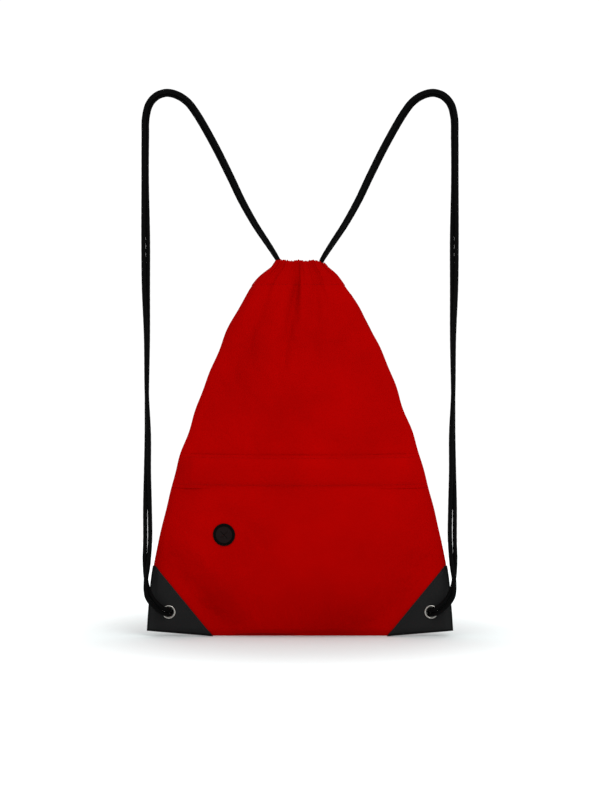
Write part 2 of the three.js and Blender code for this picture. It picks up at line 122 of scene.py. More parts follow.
def smoothstep(value: float, low: float, high: float) -> float:
    """Rises smoothly from 0 at low to 1 at high."""
    t = clamp((value - low) / (high - low))
    return t * t * (3 - 2 * t)


def through(stations: Curve, at: float) -> float:
    """Reads a smooth curve that passes through given stations.

    Args:
        stations: Pairs of position and value, in rising order of position.
        at: The position to read.

    Returns:
        The value there.
    """
    if at <= stations[0][0]:
        return stations[0][1]
    if at >= stations[-1][0]:
        return stations[-1][1]
    i = next(k for k, (s, _) in enumerate(stations) if s > at) - 1

    def slope(a: tuple[float, float], b: tuple[float, float]) -> float:
        """How steeply the values rise between two stations."""
        return (b[1] - a[1]) / (b[0] - a[0])

    p, q = stations[i], stations[i + 1]
    here = slope(p, q)
    before = (slope(stations[i - 1], p) + here) / 2 if i > 0 else here
    after = (here + slope(q, stations[i + 2])) / 2 if i < len(stations) - 2 else here
    span = q[0] - p[0]
    t = (at - p[0]) / span
    return (
        p[1] * (1 + 2 * t) * (1 - t) ** 2
        + before * span * t * (1 - t) ** 2
        + q[1] * t * t * (3 - 2 * t)
        + after * span * t * t * (t - 1)
    )


def in_frame(x: float, y: float, height: float) -> Point:
    """Turns a point of the bag into the frame's metres."""
    return x * MM, y * MM, (height - HANG_DROP) * MM


def deselect() -> None:
    """Leaves nothing selected, so that the next operator acts on its own piece only."""
    if bpy.context.object and bpy.context.object.mode != "OBJECT":
        bpy.ops.object.mode_set(mode="OBJECT")
    bpy.ops.object.select_all(action="DESELECT")


def only(obj: Piece) -> None:
    """Selects one object and makes it active."""
    deselect()
    obj.select_set(True)
    bpy.context.view_layer.objects.active = obj


def bake_place(obj: Piece) -> Piece:
    """Moves an object's place, turn and size into its mesh."""
    bpy.context.view_layer.update()
    obj.data.transform(obj.matrix_world)
    obj.matrix_world = Matrix.Identity(4)
    return obj


def apply_modifiers(obj: Piece) -> Piece:
    """Applies every modifier in order."""
    only(obj)
    for added in list(obj.modifiers):
        bpy.ops.object.modifier_apply(modifier=added.name)
    return obj


def modifier(obj: Piece, kind: str, **settings: object) -> bpy.types.Modifier:
    """Adds a modifier with its settings.

    Args:
        obj: The object that gets it.
        kind: Blender's type name.
        settings: Values by property name.

    Returns:
        The new modifier.
    """
    made = obj.modifiers.new(kind.title(), kind)
    for name, value in settings.items():
        setattr(made, name, value)
    return made


def smooth(obj: Piece, degrees: float = 40.0) -> Piece:
    """Shades an object smooth, but keeps edges sharper than an angle."""
    only(obj)
    bpy.ops.object.shade_smooth_by_angle(angle=math.radians(degrees))
    return obj


def outward(obj: Piece) -> Piece:
    """Merges doubled points and turns a closed mesh's faces outwards."""
    only(obj)
    bpy.ops.object.mode_set(mode="EDIT")
    bpy.ops.mesh.select_all(action="SELECT")
    bpy.ops.mesh.remove_doubles(threshold=1e-6)
    bpy.ops.mesh.normals_make_consistent(inside=False)
    bpy.ops.object.mode_set(mode="OBJECT")
    return obj


def headings(line: Sequence[Vector]) -> list[Vector]:
    """The direction of a line at each of its points."""
    last = len(line) - 1
    return [(line[min(i + 1, last)] - line[max(i - 1, 0)]).normalized() for i in range(last + 1)]


def tube_faces(rings: int, sides: int, base: int = 0) -> list[tuple[int, ...]]:
    """The faces of a tube, closed at both ends, whose points are laid ring by ring.

    Args:
        rings: Number of rings.
        sides: Points in each ring.
        base: Number of the tube's first point.

    Returns:
        The walls in the rings' order, then the two ends.
    """
    faces: list[tuple[int, ...]] = []
    for j in range(rings - 1):
        for k in range(sides):
            a = base + j * sides + k
            b = base + j * sides + (k + 1) % sides
            faces.append((a, b, b + sides, a + sides))
    last = base + (rings - 1) * sides
    faces.append(tuple(base + k for k in reversed(range(sides))))
    faces.append(tuple(last + k for k in range(sides)))
    return faces


def new_piece(name: str, points: Sequence[Point], faces: list[tuple[int, ...]]) -> Piece:
    """Puts a new mesh into the scene as a piece of its own."""
    mesh = bpy.data.meshes.new(name)
    mesh.from_pydata(points, [], faces)
    piece = bpy.data.objects.new(name, mesh)
    bpy.context.scene.collection.objects.link(piece)
    return piece


def stand_for(piece: Piece, body: str, *nodes: str) -> None:
    """Fixes a piece to a body and hides the CAD nodes whose place it takes."""
    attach(piece, body)
    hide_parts(*nodes)


# ------------------------------------------------------------------ finishes


def connect(node: bpy.types.Node, inputs: dict[str | int, object]) -> None:
    """Gives a node's inputs their values, and links those that are output sockets."""
    for key, value in inputs.items():
        if isinstance(value, bpy.types.NodeSocket):
            node.id_data.links.new(value, node.inputs[key])
        else:
            node.inputs[key].default_value = value


def add_node(
    tree: bpy.types.NodeTree,
    kind: str,
    inputs: dict[str | int, object] | None = None,
    **settings: object,
) -> bpy.types.Node:
    """Adds a shader node, sets it up and links it.

    Args:
        tree: The node tree.
        kind: The node's type name, without its ShaderNode prefix.
        inputs: Values or output sockets to link, by input name or index.
        settings: Properties of the node, by name.

    Returns:
        The new node.
    """
    node = tree.nodes.new("ShaderNode" + kind)
    for name, value in settings.items():
        setattr(node, name, value)
    connect(node, inputs or {})
    return node


def wave_scale(pitch: float) -> float:
    """The wave texture's scale that gives bands of a pitch, on a map in millimetres."""
    return math.pi / (5 * pitch)


def new_material(name: str) -> tuple[Material, bpy.types.Node]:
    """Makes a material with only its output and one principled shader.

    Args:
        name: What the material is called.

    Returns:
        The material and its shader node.
    """
    material = bpy.data.materials.new(name)
    material.use_nodes = True
    tree = material.node_tree
    tree.nodes.clear()
    shader = add_node(tree, "BsdfPrincipled")
    add_node(tree, "OutputMaterial", {"Surface": shader.outputs["BSDF"]})
    return material, shader


@dataclass(frozen=True)
class WovenCloth:
    """Plain-woven polyester, dyed and lightly coated on the inside.

    The eye sees an even, deep colour with a very fine grid of threads, whose gaps carry painted
    shade, slow changes of tone where the cloth has been handled, and no gloss.
    """

    name: str
    thread: str = "a80100"
    # painted shade: the darker colour put in the gaps between threads
    gap: str = "960100"
    # The real pitch is 0.25 mm, too fine to show, so it is drawn at about three times that.
    pitch: float = 0.8
    crease_size: float = 38.0

    def make(self) -> Material:
        """Builds the material. Its weave follows the piece's own UV map, in millimetres."""
        material, shader = new_material(self.name)
        tree = material.node_tree
        uv = add_node(tree, "UVMap").outputs["UV"]
        threads = {"Vector": uv, "Scale": wave_scale(self.pitch), "Distortion": 0.0}
        warp, weft = (
            add_node(tree, "TexWave", threads, bands_direction=way, wave_profile="SIN")
            for way in ("X", "Y")
        )
        crossed = {0: warp.outputs["Fac"], 1: weft.outputs["Fac"]}
        weave = add_node(tree, "Math", crossed, operation="MAXIMUM").outputs[0]
        place = add_node(tree, "TexCoord").outputs["Object"]
        handled = add_node(tree, "TexNoise", {"Vector": place, "Scale": 14.0, "Detail": 3.0})
        # The gaps between threads take the darker colour, as painted shade.
        dyes = {0: weave, 6: linear(self.gap), 7: linear(self.thread)}
        tone = add_node(tree, "Mix", dyes, data_type="RGBA").outputs[2]
        fading = {"Value": handled.outputs["Fac"], 1: 0.3, 2: 0.7, 3: 0.9, 4: 1.06}
        patchy = add_node(tree, "MapRange", fading).outputs[0]
        colour = add_node(tree, "VectorMath", {0: tone, 3: patchy}, operation="SCALE")
        size = 1000 / self.crease_size
        crumple = {"Vector": place, "Scale": size, "Detail": 4.0, "Roughness": 0.55}
        creases = add_node(tree, "TexNoise", crumple).outputs["Fac"]
        soft = add_node(tree, "Bump", {"Height": creases, "Strength": 0.16, "Distance": 0.002})
        relief = {"Height": weave, "Strength": 0.35, "Distance": 0.0001}
        fine = add_node(tree, "Bump", {**relief, "Normal": soft.outputs[0]})
        connect(
            shader,
            {
                "Base Color": colour.outputs[0],
                "Normal": fine.outputs[0],
                "Roughness": 0.78,
                "Specular IOR Level": 0.008,
            },
        )
        return material


@dataclass(frozen=True)
class BraidedCord:
    """Round polyester braid: sixteen strands that cross each other at a slant.

    The eye sees a black cord with small scales in two slanting rows, each with a faint glint.
    """

    name: str
    strand: str = "09090a"
    shadow: str = "020202"
    pitch: float = 1.25  # between strands that lie side by side
    slant: float = 0.9  # radians from the cord's length, one way and the other

    def make(self) -> Material:
        """Builds the material. The UV map runs round the cord in x and along it in y, in mm."""
        material, shader = new_material(self.name)
        tree = material.node_tree
        uv = add_node(tree, "UVMap").outputs["UV"]
        scales = []
        for turn in (self.slant, -self.slant):
            turned = add_node(tree, "Mapping", {"Vector": uv, "Rotation": (0.0, 0.0, turn)})
            rows = {"Vector": turned.outputs[0], "Scale": wave_scale(self.pitch), "Distortion": 0.0}
            scales.append(add_node(tree, "TexWave", rows, bands_direction="X").outputs["Fac"])
        crossed = {0: scales[0], 1: scales[1]}
        braid = add_node(tree, "Math", crossed, operation="MULTIPLY").outputs[0]
        blacks = {0: braid, 6: linear(self.shadow), 7: linear(self.strand)}
        colour = add_node(tree, "Mix", blacks, data_type="RGBA")
        bump = add_node(tree, "Bump", {"Height": braid, "Strength": 0.6, "Distance": 0.0004})
        connect(
            shader,
            {
                "Base Color": colour.outputs[2],
                "Normal": bump.outputs[0],
                "Roughness": 0.7,
                "Specular IOR Level": 0.05,
            },
        )
        return material


@dataclass(frozen=True)
class GrainedCoating:
    """Polyurethane-coated fabric, pressed with a pebbled leather grain.

    The eye sees a dull black skin whose small pebbles catch soft, broken light.
    """

    name: str
    face: str = "121213"
    worn: str = "191919"
    grain: float = 1.6  # the real pebbles are about 0.8 mm; drawn coarser so that they show

    def make(self) -> Material:
        """Builds the material on object coordinates."""
        material, shader = new_material(self.name)
        tree = material.node_tree
        place = add_node(tree, "TexCoord").outputs["Object"]
        cells = {"Vector": place, "Scale": 1000 / self.grain, "Smoothness": 0.4}
        pebbles = add_node(tree, "TexVoronoi", cells, feature="SMOOTH_F1").outputs["Distance"]
        wear = add_node(tree, "TexNoise", {"Vector": place, "Scale": 45.0, "Detail": 5.0})
        blacks = {0: wear.outputs["Fac"], 6: linear(self.face), 7: linear(self.worn)}
        colour = add_node(tree, "Mix", blacks, data_type="RGBA")
        rough = add_node(tree, "MapRange", {"Value": pebbles, 3: 0.42, 4: 0.62})
        relief = {"Height": pebbles, "Strength": 0.35, "Distance": 0.0003}
        bump = add_node(tree, "Bump", relief, invert=True)
        connect(
            shader,
            {
                "Base Color": colour.outputs[2],
                "Roughness": rough.outputs[0],
                "Normal": bump.outputs[0],
                "Specular IOR Level": 0.1,
            },
        )
        return material


@dataclass(frozen=True)
class PlatedMetal:
    """Nickel plate on stamped brass or steel.

    The eye sees a warm grey mirror, broken by fine polishing lines and a few dull spots.
    """

    name: str
    colour: str = "b9b6b0"

    def make(self) -> Material:
        """Builds the material on object coordinates."""
        material, shader = new_material(self.name)
        tree = material.node_tree
        place = add_node(tree, "TexCoord").outputs["Object"]
        noise = add_node(tree, "TexNoise", {"Vector": place, "Scale": 420.0, "Detail": 4.0})
        spots = noise.outputs["Fac"]
        rough = add_node(tree, "MapRange", {"Value": spots, 3: 0.18, 4: 0.38})
        bump = add_node(tree, "Bump", {"Height": spots, "Strength": 0.08, "Distance": 0.0002})
        connect(
            shader,
            {
                "Roughness": rough.outputs[0],
                "Normal": bump.outputs[0],
                "Base Color": linear(self.colour),
                "Metallic": 1.0,
            },
        )
        return material


@dataclass(frozen=True)
class MouldedPlain:
    """A moulded rubber or nylon: one colour, with a fine tooling texture.

    The eye sees a soft, even surface that dulls highlights and shows a trace of dust.
    """

    name: str
    colour: str
    dust: str
    roughness: float
    specular: float
    grain: float = 0.6

    def make(self) -> Material:
        """Builds the material on object coordinates."""
        material, shader = new_material(self.name)
        tree = material.node_tree
        place = add_node(tree, "TexCoord").outputs["Object"]
        tooled = {"Vector": place, "Scale": 1000 / self.grain, "Detail": 3.0}
        noise = add_node(tree, "TexNoise", tooled).outputs["Fac"]
        patches = add_node(tree, "TexNoise", {"Vector": place, "Scale": 120.0, "Detail": 4.0})
        tones = {0: patches.outputs["Fac"], 6: linear(self.colour), 7: linear(self.dust)}
        colour = add_node(tree, "Mix", tones, data_type="RGBA")
        bump = add_node(tree, "Bump", {"Height": noise, "Strength": 0.15, "Distance": 0.0002})
        connect(
            shader,
            {
                "Base Color": colour.outputs[2],
                "Normal": bump.outputs[0],
                "Roughness": self.roughness,
                "Specular IOR Level": self.specular,
            },
        )
        return material


CLOTH = WovenCloth("woven polyester, red")
# The second colour of each is the painted shade in the gaps between its threads.
LINING = WovenCloth("woven polyester lining, dark red", "7c0a08", "640605", 1.2)
TAPE = WovenCloth("woven zip tape, red", "9a0504", "700302", 1.6)
CORD = BraidedCord("braided polyester cord, black")
COATING = GrainedCoating("grained coated fabric, black")
# Painted shade: a much darker black for the patches' edges where they fold round the bag's side and
# bottom.
EDGE_SHADE_COATING = GrainedCoating("coated fabric folded at the seam, black", "040404", "060606")
NICKEL = PlatedMetal("nickel plate, polished")
RUBBER = MouldedPlain("moulded rubber, black", "040404", "080707", 0.65, 0.03)
# The slit disc is given a lighter, reddish black than the grommet's rim.
DISC_RUBBER = MouldedPlain("thin rubber disc, black", "160f0f", "1e1616", 0.75, 0.04)
NYLON = MouldedPlain("drawn nylon monofilament, red", "8c0706", "a01210", 0.38, 0.35)
THREAD = MouldedPlain("twisted sewing thread, red", "9c0302", "a60403", 0.75, 0.03)
BLACK_THREAD = MouldedPlain("twisted sewing thread, black", "161616", "222222", 0.65, 0.15)


@dataclass
class Finishes:
    """Every finish on the bag, made once and shared."""

    cloth: Material = field(default_factory=CLOTH.make)
    lining: Material = field(default_factory=LINING.make)
    tape: Material = field(default_factory=TAPE.make)
    cord: Material = field(default_factory=CORD.make)
    coating: Material = field(default_factory=COATING.make)
    # painted shade for the corner patches' folded edges
    fold: Material = field(default_factory=EDGE_SHADE_COATING.make)
    nickel: Material = field(default_factory=NICKEL.make)
    rubber: Material = field(default_factory=RUBBER.make)
    worn_rubber: Material = field(default_factory=DISC_RUBBER.make)
    nylon: Material = field(default_factory=NYLON.make)
    thread: Material = field(default_factory=THREAD.make)
    black_thread: Material = field(default_factory=BLACK_THREAD.make)


def dress(obj: Piece, material: Material) -> Piece:
    """Gives an object its material."""
    obj.data.materials.clear()
    obj.data.materials.append(material)
    return obj


# ------------------------------------------------------------------ the bag's surface


@dataclass(frozen=True)
class BagShape:
    """The stuffed bag's outline and depth."""

    outline: Curve = (
        (0, 170.8), (30, 168.8), (67, 165.4), (94, 160.6), (121, 154.6), (148, 148),
        (174, 141.6), (201, 133.8), (228, 125), (255, 115.4), (281, 106), (308, 95.5),
        (335, 83.5), (362, 69.5), (380, 59), (395, 49), (403, 42), (408, 36.2),
        (412, 31.4), (415, 29.6), (418, 27.4),
    )
    front: Curve = (
        (0, 0), (18, 8), (50, 18), (95, 26), (140, 29), (190, 28),
        (250, 26), (320, 23), (375, 19.5), (395, 17.5), (418, 15.5),
    )
    back: Curve = (
        (0, 0), (18, 6), (50, 15), (95, 22), (140, 25), (190, 24),
        (250, 22), (320, 20), (375, 18), (395, 17), (418, 15.5),
    )
    corner_rise: float = 6.0
    patch_foot: float = 97.6
    patch_top: tuple[float, float] = (163.3, 80.5)
    seam_gap: float = 0.2  # from the seam plane to each face's edge
    loft: float = 2.4  # how much further out the cloth stands just inside its edges

    def half_width(self, height: float) -> float:
        """Half the bag's width at a height."""
        return through(self.outline, height)

    def edge(self, height: float, side: float) -> float:
        """Half the width on one side, with the small lumps that a gathered seam has."""
        lift = smoothstep(height, 90, 220) * (1 - smoothstep(height, 385, 405))
        lumps = 0.55 * math.sin(height / 7.3 + 1.3 * side) + 0.5 * math.sin(
            height / 11.9 + 2.1 * side
        )
        lean = 1.5 * smoothstep(height, 320, 372) * (1 - smoothstep(height, 396, 412))
        return self.half_width(height) + lift * lumps - side * lean

    def bottom(self, x: float) -> float:
        """Height of the bottom edge, which climbs a little to the corners."""
        reach = self.half_width(0) - self.patch_foot
        return self.corner_rise * clamp((abs(x) - self.patch_foot) / reach)

    def past_patch_edge(self, x: float, height: float) -> float:
        """How far a point lies beyond a corner patch's slanting edge, towards the corner."""
        run = Vector((self.patch_top[0] - self.patch_foot, self.patch_top[1])).normalized()
        return (abs(x) - self.patch_foot) * run.y - height * run.x

    def swell(self, x: float, height: float, face: Face) -> float:
        """How far the stuffed cloth stands out from its edges at a point."""
        wide = self.half_width(height)
        deep = through(self.front if face is Face.FRONT else self.back, height)
        if deep < 0.01 or abs(x) >= wide:
            return 0.0
        radius = (wide * wide + deep * deep) / (2 * deep)
        arc = clamp((math.sqrt(radius * radius - x * x) - radius + deep) / deep)
        rounding = 1 - 0.5 * smoothstep(height, 250, 395)
        flat = smoothstep(self.past_patch_edge(x, height), -50, -8)
        return deep * arc**rounding * (1 - flat)

    def stand(self, x: float, height: float, face: Face) -> float:
        """The smooth cloth's y at a point that is well in from the edges."""
        return face.value * (self.seam_gap + self.loft + self.swell(x, height, face))


SHAPE = BagShape()


@dataclass(frozen=True)
class Gathers:
    """The pleats that the drawcord makes, which fan out and die away down the bag."""

    top: float = 418.0
    # Each fold: x at its top and foot, the height of both, its width, and how far it stands out.
    folds: tuple[tuple[float, float, float, float, float, float], ...] = (
        (1, -27, 411, 268, 5.5, -4.4),
        (16, 17, 388, 300, 6.5, -2.6),
        (38, 48, 378, 292, 8, -1.8),
        (-33, -89, 378, 262, 11, -2.4),
        (-12, -44, 392, 308, 9, 1.6),
        (26, 34, 392, 286, 10, 1.7),
        (58, 82, 352, 262, 12, -1.5),
        (-62, -104, 330, 250, 12, -1.2),
    )

    def depth(self, across: float, height: float, face: Face) -> float:
        """How far the pleats push the cloth outwards.

        Args:
            across: Place across the gathered cloth, -1 to 1.
            height: Height above the bottom edge.
            face: The front or the back of the bag.

        Returns:
            Millimetres outwards from the smooth surface.
        """
        down = self.top - height
        seed = 0.0 if face is Face.FRONT else 1.9
        warp = across + 0.035 * math.sin(9.1 * across + seed) + 0.02 * math.sin(23 * across)
        small = 0.5 * math.exp(-((down / 21) ** 2)) * math.sin(47 * warp + seed)
        uneven = 0.62 + 0.38 * math.sin(5.3 * across + 2 * seed + 0.7)
        middle = 0.95 * uneven * math.exp(-((down / 62) ** 1.6)) * math.sin(25 * warp + 1.1 + seed)
        broad = 1.25 * math.exp(-((down / 165) ** 2)) * math.sin(12.6 * warp + 0.4 + 2 * seed)
        still = 1 - smoothstep(abs(across), 0.86, 1.0)
        return (small + middle + broad) * still

    def creases(self, x: float, height: float) -> float:
        """The longer, softer folds that run down the front from the collar."""
        total = 0.0
        for top_x, foot_x, top, foot, width, deep in self.folds:
            t = (top - height) / (top - foot)
            if not -0.2 < t < 1.3:
                continue
            middle = top_x + (foot_x - top_x) * t
            fade = smoothstep(t, -0.15, 0.25) * (1 - smoothstep(t, 0.55, 1.25))
            total += deep * fade * math.exp(-(((x - middle) / (width * (0.7 + 0.8 * t))) ** 2))
        return total


GATHERS = Gathers()


def sheet_mesh(
    name: str, place: Place, columns: int, rows: int, flat: tuple[float, float]
) -> Piece:
    """Shapes a grid into a sheet of cloth, with its weave's UV map in millimetres.

    Args:
        name: What the piece is called.
        place: Gives a point of the bag, in mm, from u across and v along, each 0 to 1.
        columns: Number of faces across.
        rows: Number of faces along.
        flat: The cut's width and length in mm.

    Returns:
        The sheet, one face thick, with its place in its mesh.
    """
    deselect()
    bpy.ops.mesh.primitive_grid_add(x_subdivisions=columns, y_subdivisions=rows, size=2.0)
    sheet = bpy.context.object
    sheet.name = name
    mesh = sheet.data
    corners = np.array([v.co[:2] for v in mesh.vertices])
    for vertex, (a, b) in zip(mesh.vertices, (corners + 1) / 2):
        vertex.co = in_frame(*place(float(a), float(b)))
    uv = mesh.uv_layers.active or mesh.uv_layers.new(name="UVMap")
    for loop in mesh.loops:
        a, b = (corners[loop.vertex_index] + 1) / 2
        uv.data[loop.index].uv = (a * flat[0], b * flat[1])
    mesh.update()
    return sheet


def face_out(sheet: Piece, towards: Vector) -> Piece:
    """Turns an open sheet's faces so that they look a given way on the whole."""
    total = Vector()
    for polygon in sheet.data.polygons:
        total += polygon.normal * polygon.area
    if total.dot(towards) < 0:
        sheet.data.flip_normals()
    return sheet


def thicken(sheet: Piece, thickness: float, round_edge: bool = True) -> Piece:
    """Gives a sheet its thickness, grown inwards, and a soft rim."""
    modifier(sheet, "SOLIDIFY", thickness=thickness * MM, offset=-1.0, use_even_offset=False)
    if round_edge:
        rim = modifier(sheet, "BEVEL", width=thickness * 0.3 * MM, segments=2)
        rim.limit_method = "ANGLE"
        rim.angle_limit = math.radians(60)
    return apply_modifiers(sheet)


def thin_strip(sheet: Piece, thickness: float) -> Piece:
    """Gives a hidden strip its thickness, half to each side."""
    modifier(sheet, "SOLIDIFY", thickness=thickness * MM, offset=0.0)
    return smooth(apply_modifiers(sheet), 60)


def cut_holes(sheet: Piece, *holes: Point) -> None:
    """Cuts round holes through a sheet.

    Args:
        sheet: An open sheet.
        holes: The x, the height and the radius of each.
    """
    mesh = bmesh.new()
    mesh.from_mesh(sheet.data)
    inside = []
    for face in mesh.faces:
        x, _, z = face.calc_center_median() / MM
        if any(math.hypot(x - hx, z + HANG_DROP - hh) < radius for hx, hh, radius in holes):
            inside.append(face)
    bmesh.ops.delete(mesh, geom=inside, context="FACES")
    mesh.to_mesh(sheet.data)
    mesh.free()


@dataclass(frozen=True)
class ClothSettling:
    """A short cloth simulation that lets a pinned sheet find its own small wrinkles."""

    frames: int = 14
    pressure: float = 0.5
    grow: float = 0.004  # share by which the cut cloth is larger than the space it fills
    cap: float = 1.8  # the furthest that any point may move

    def settle(self, sheet: Piece, held: np.ndarray) -> Piece:
        """Runs the simulation and applies it, with no point moving further than the cap.

        Args:
            sheet: An open sheet.
            held: How firmly each vertex is held, 0 to 1.

        Returns:
            The settled sheet.
        """
        rest = np.array([v.co for v in sheet.data.vertices])
        group = sheet.vertex_groups.new(name="held")
        for index, weight in enumerate(held):
            group.add([index], float(weight), "REPLACE")
        cloth = sheet.modifiers.new("Cloth", "CLOTH")
        settings = cloth.settings
        settings.quality = 6
        settings.mass = 0.12
        settings.tension_stiffness = 12
        settings.compression_stiffness = 12
        settings.shear_stiffness = 4
        settings.bending_stiffness = 0.35
        settings.air_damping = 3
        settings.use_pressure = True
        settings.uniform_pressure_force = self.pressure
        settings.shrink_min = -self.grow
        settings.vertex_group_mass = group.name
        settings.effector_weights.gravity = 0
        cloth.collision_settings.use_collision = False
        cloth.collision_settings.use_self_collision = False
        cloth.point_cache.frame_start = 1
        cloth.point_cache.frame_end = self.frames
        scene = bpy.context.scene
        for frame in range(1, self.frames + 1):
            scene.frame_set(frame)
        apply_modifiers(sheet)
        scene.frame_set(1)
        moved = np.array([v.co for v in sheet.data.vertices]) - rest
        reach = np.linalg.norm(moved, axis=1)
        share = np.minimum(1.0, self.cap * MM / np.maximum(reach, 1e-9))
        settled = rest + moved * share[:, None]
        sheet.data.vertices.foreach_set("co", settled.astype(np.float32).ravel())
        sheet.data.update()
        sheet.vertex_groups.clear()
        return sheet


# ------------------------------------------------------------------ cloth panels


@dataclass(frozen=True)
class Surface:
    """The final face of one or more pieces, for what is sewn or set onto them."""

    pieces: tuple[Piece, ...]

    def touch(self, x: float, height: float, face: Face) -> tuple[Vector, Vector]:
        """Finds the outermost cloth at a place on the bag.

        Args:
            x: Millimetres to the wearer's right.
            height: Millimetres above the bottom edge.
            face: The front or the back.

        Returns:
            The point and the outward normal there, in the frame's metres.
        """
        start = Vector(in_frame(x, face.value * 120, height))
        along = -face.out
        best: tuple[Vector, Vector] | None = None
        for piece in self.pieces:
            hit, point, normal, _ = piece.ray_cast(start, along, distance=0.24)
            if hit and (best is None or (point - start).length < (best[0] - start).length):
                best = (point.copy(), normal.copy())
        if best is None:
            return Vector(in_frame(x, SHAPE.stand(x, height, face), height)), face.out
        return best


@dataclass(frozen=True)
class PortPlace:
    """Where the cable port is set into the pocket's front."""

    x: float = -84.2
    height: float = 115.0
    hole: float = 8.0  # radius of the hole cut in the cloth

    def matrix(self) -> Matrix:
        """A frame on the cloth: z runs outwards, x and y across it, in the frame's metres."""

        def at(x: float, height: float) -> Vector:
            """A point of the smooth cloth."""
            return Vector(in_frame(x, SHAPE.stand(x, height, Face.FRONT), height))

        across = (at(self.x + 4, self.height) - at(self.x - 4, self.height)).normalized()
        up = at(self.x, self.height + 4) - at(self.x, self.height - 4)
        out = across.cross(up).normalized()
        up = out.cross(across)
        turn = Matrix((across, up, out)).transposed().to_4x4()
        return Matrix.Translation(at(self.x, self.height)) @ turn


PORT = PortPlace()
CLOTH_HOLE = 8.4  # radius of the hole round an eyelet, which its washer clamps and hides
EYELET_HOLES = tuple((side.value * EYELET[0], EYELET[1], CLOTH_HOLE) for side in Side)


@dataclass
class ClothBody:
    """The red cloth: the pocket's front, the upper front, the back, and the flap."""

    finishes: Finishes
    cloth: float = 0.6
    zip_foot: float = 184.5
    zip_head: float = 196.0
    hem_top: float = 418.0
    hem_foot: float = 391.0
    flap_foot: float = 166.0
    flap_head: float = 204.0
    # How far the flap stands off the cloth below it, by height.
    flap_stand: Curve = (
        (166, 1.3), (168, 1.7), (174, 4.9), (182, 6.8), (195, 6.6), (201, 3.5), (204, 0.5),
    )
    flap_cloth: float = 0.9
    lining_head: float = 210.0
    lining_cloth: float = 0.4
    cut_width: float = 340.0
    columns: int = 150
    turn: float = 4.0  # length of cloth that goes over the hem's top
    made: dict[str, Piece] = field(default_factory=dict)

    def outer(self, a: float, height: float, face: Face) -> tuple[float, float]:
        """The outer cloth's x and y at a place across the bag, -1 to 1, and a height."""
        x = a * SHAPE.edge(height, math.copysign(1.0, a))
        rim = smoothstep(1 - abs(a), 0.0, 0.05)
        swell = SHAPE.swell(a * SHAPE.half_width(height), height, face)
        collar = smoothstep(height, 396, 409)
        wide = through(SHAPE.front if face is Face.FRONT else SHAPE.back, height)
        if collar > 0 and swell > 0:
            swell = wide * (swell / wide) ** (1 - 0.35 * collar)
        gathers = GATHERS.depth(a, height, face) + 2.3 * rim * math.exp(
            -(((self.hem_top - height) / 30) ** 2)
        )
        folds = GATHERS.creases(x if face is Face.FRONT else -0.8 * x, height) * rim
        pinch = -0.35 * rim * math.exp(-(((height - self.hem_foot - 2) / 2.4) ** 2))
        depth = SHAPE.seam_gap + SHAPE.loft * rim + swell + gathers + folds + pinch
        return x, face.value * depth

    def hem(self, a: float, height: float, face: Face) -> tuple[float, float]:
        """The hem's inner layer, which lines the mouth and comes back to the cloth below."""
        x, y = self.outer(a, height, face)
        beside = y - face.value * 1.3
        mouth = face.value * (
            3.4 - 1.8 * clamp((x / 20) ** 2) + 0.5 * math.sin(40 * a + face.value)
        )
        tunnel_end = smoothstep(abs(a), 0.68, 0.84)
        joined = smoothstep(self.hem_foot + 11 - height, 0, 11)
        return x, mouth + (beside - mouth) * max(tunnel_end, joined)

    @staticmethod
    def ruffle(a: float, face: Face) -> float:
        """How far the hem's gathered top edge stands above or below its mean height."""
        small = 0.5 * math.sin(43 * a + 2 * face.value) + 0.3 * math.sin(71 * a)
        swing = 0.6 * math.sin(11 * a + 2.2)
        peak = 1.3 * math.exp(-(((a + 0.84) / 0.12) ** 2))
        return small + swing + peak - 3.4 * smoothstep(a, 0.74, 1.0)

    def fold_over(self, s: float, a: float, face: Face) -> Point:
        """A point of a hemmed panel at a length s past the hem's top, over and down inside."""
        ruffle = self.ruffle(a, face)
        if s < self.turn:
            t = s / self.turn
            _, y0 = self.outer(a, self.hem_top, face)
            x, y1 = self.hem(a, self.hem_top, face)
            lift = math.sin(math.pi * t) * 0.9 + ruffle
            return x, y0 + (y1 - y0) * smoothstep(t, 0, 1), self.hem_top + lift
        down = s - self.turn
        x, y = self.hem(a, self.hem_top - down, face)
        return x, y, self.hem_top - down + ruffle * math.exp(-down / 5)

    def hemmed(self, name: str, face: Face, foot: Callable[[float], float]) -> Piece:
        """Makes a panel that runs up to the collar and ends in the drawcord's hem.

        Args:
            name: What the piece is called.
            face: The front or the back.
            foot: The height of the lower edge at an x.

        Returns:
            The panel, one face thick.
        """
        low = foot(0.0)
        rise = self.hem_top - low
        length = rise + self.turn + (self.hem_top - self.hem_foot)

        def place(u: float, v: float) -> Point:
            """A point of the panel, up from its foot, over the hem's top and down inside."""
            a = 2 * u - 1
            s = v * length
            if s <= rise:
                start = foot(a * SHAPE.half_width(low))
                height = start + (self.hem_top - start) * s / rise
                x, y = self.outer(a, height, face)
                ruffle = self.ruffle(a, face) * math.exp(-(self.hem_top - height) / 6)
                return x, y, height + ruffle
            return self.fold_over(s - rise, a, face)

        rows = int(length / 2.4)
        return sheet_mesh(name, place, self.columns, rows, (self.cut_width, length))

    def held(self, sheet: Piece, free: tuple[float, float]) -> np.ndarray:
        """How firmly a panel is held: wholly at its edges and outside a band of heights."""
        weights = []
        for vertex in sheet.data.vertices:
            x, _, z = vertex.co / MM
            height = z + HANG_DROP
            in_from_seam = SHAPE.edge(height, math.copysign(1, x)) - abs(x)
            loose = (
                smoothstep(in_from_seam, 1.5, 16)
                * smoothstep(height, free[0], free[0] + 16)
                * (1 - smoothstep(height, free[1] - 40, free[1]))
                * (1 - smoothstep(SHAPE.past_patch_edge(x, height), -16, -3))
                * smoothstep(math.hypot(x - PORT.x, height - PORT.height), 15, 28)
            )
            weights.append(1 - loose)
        return np.array(weights)

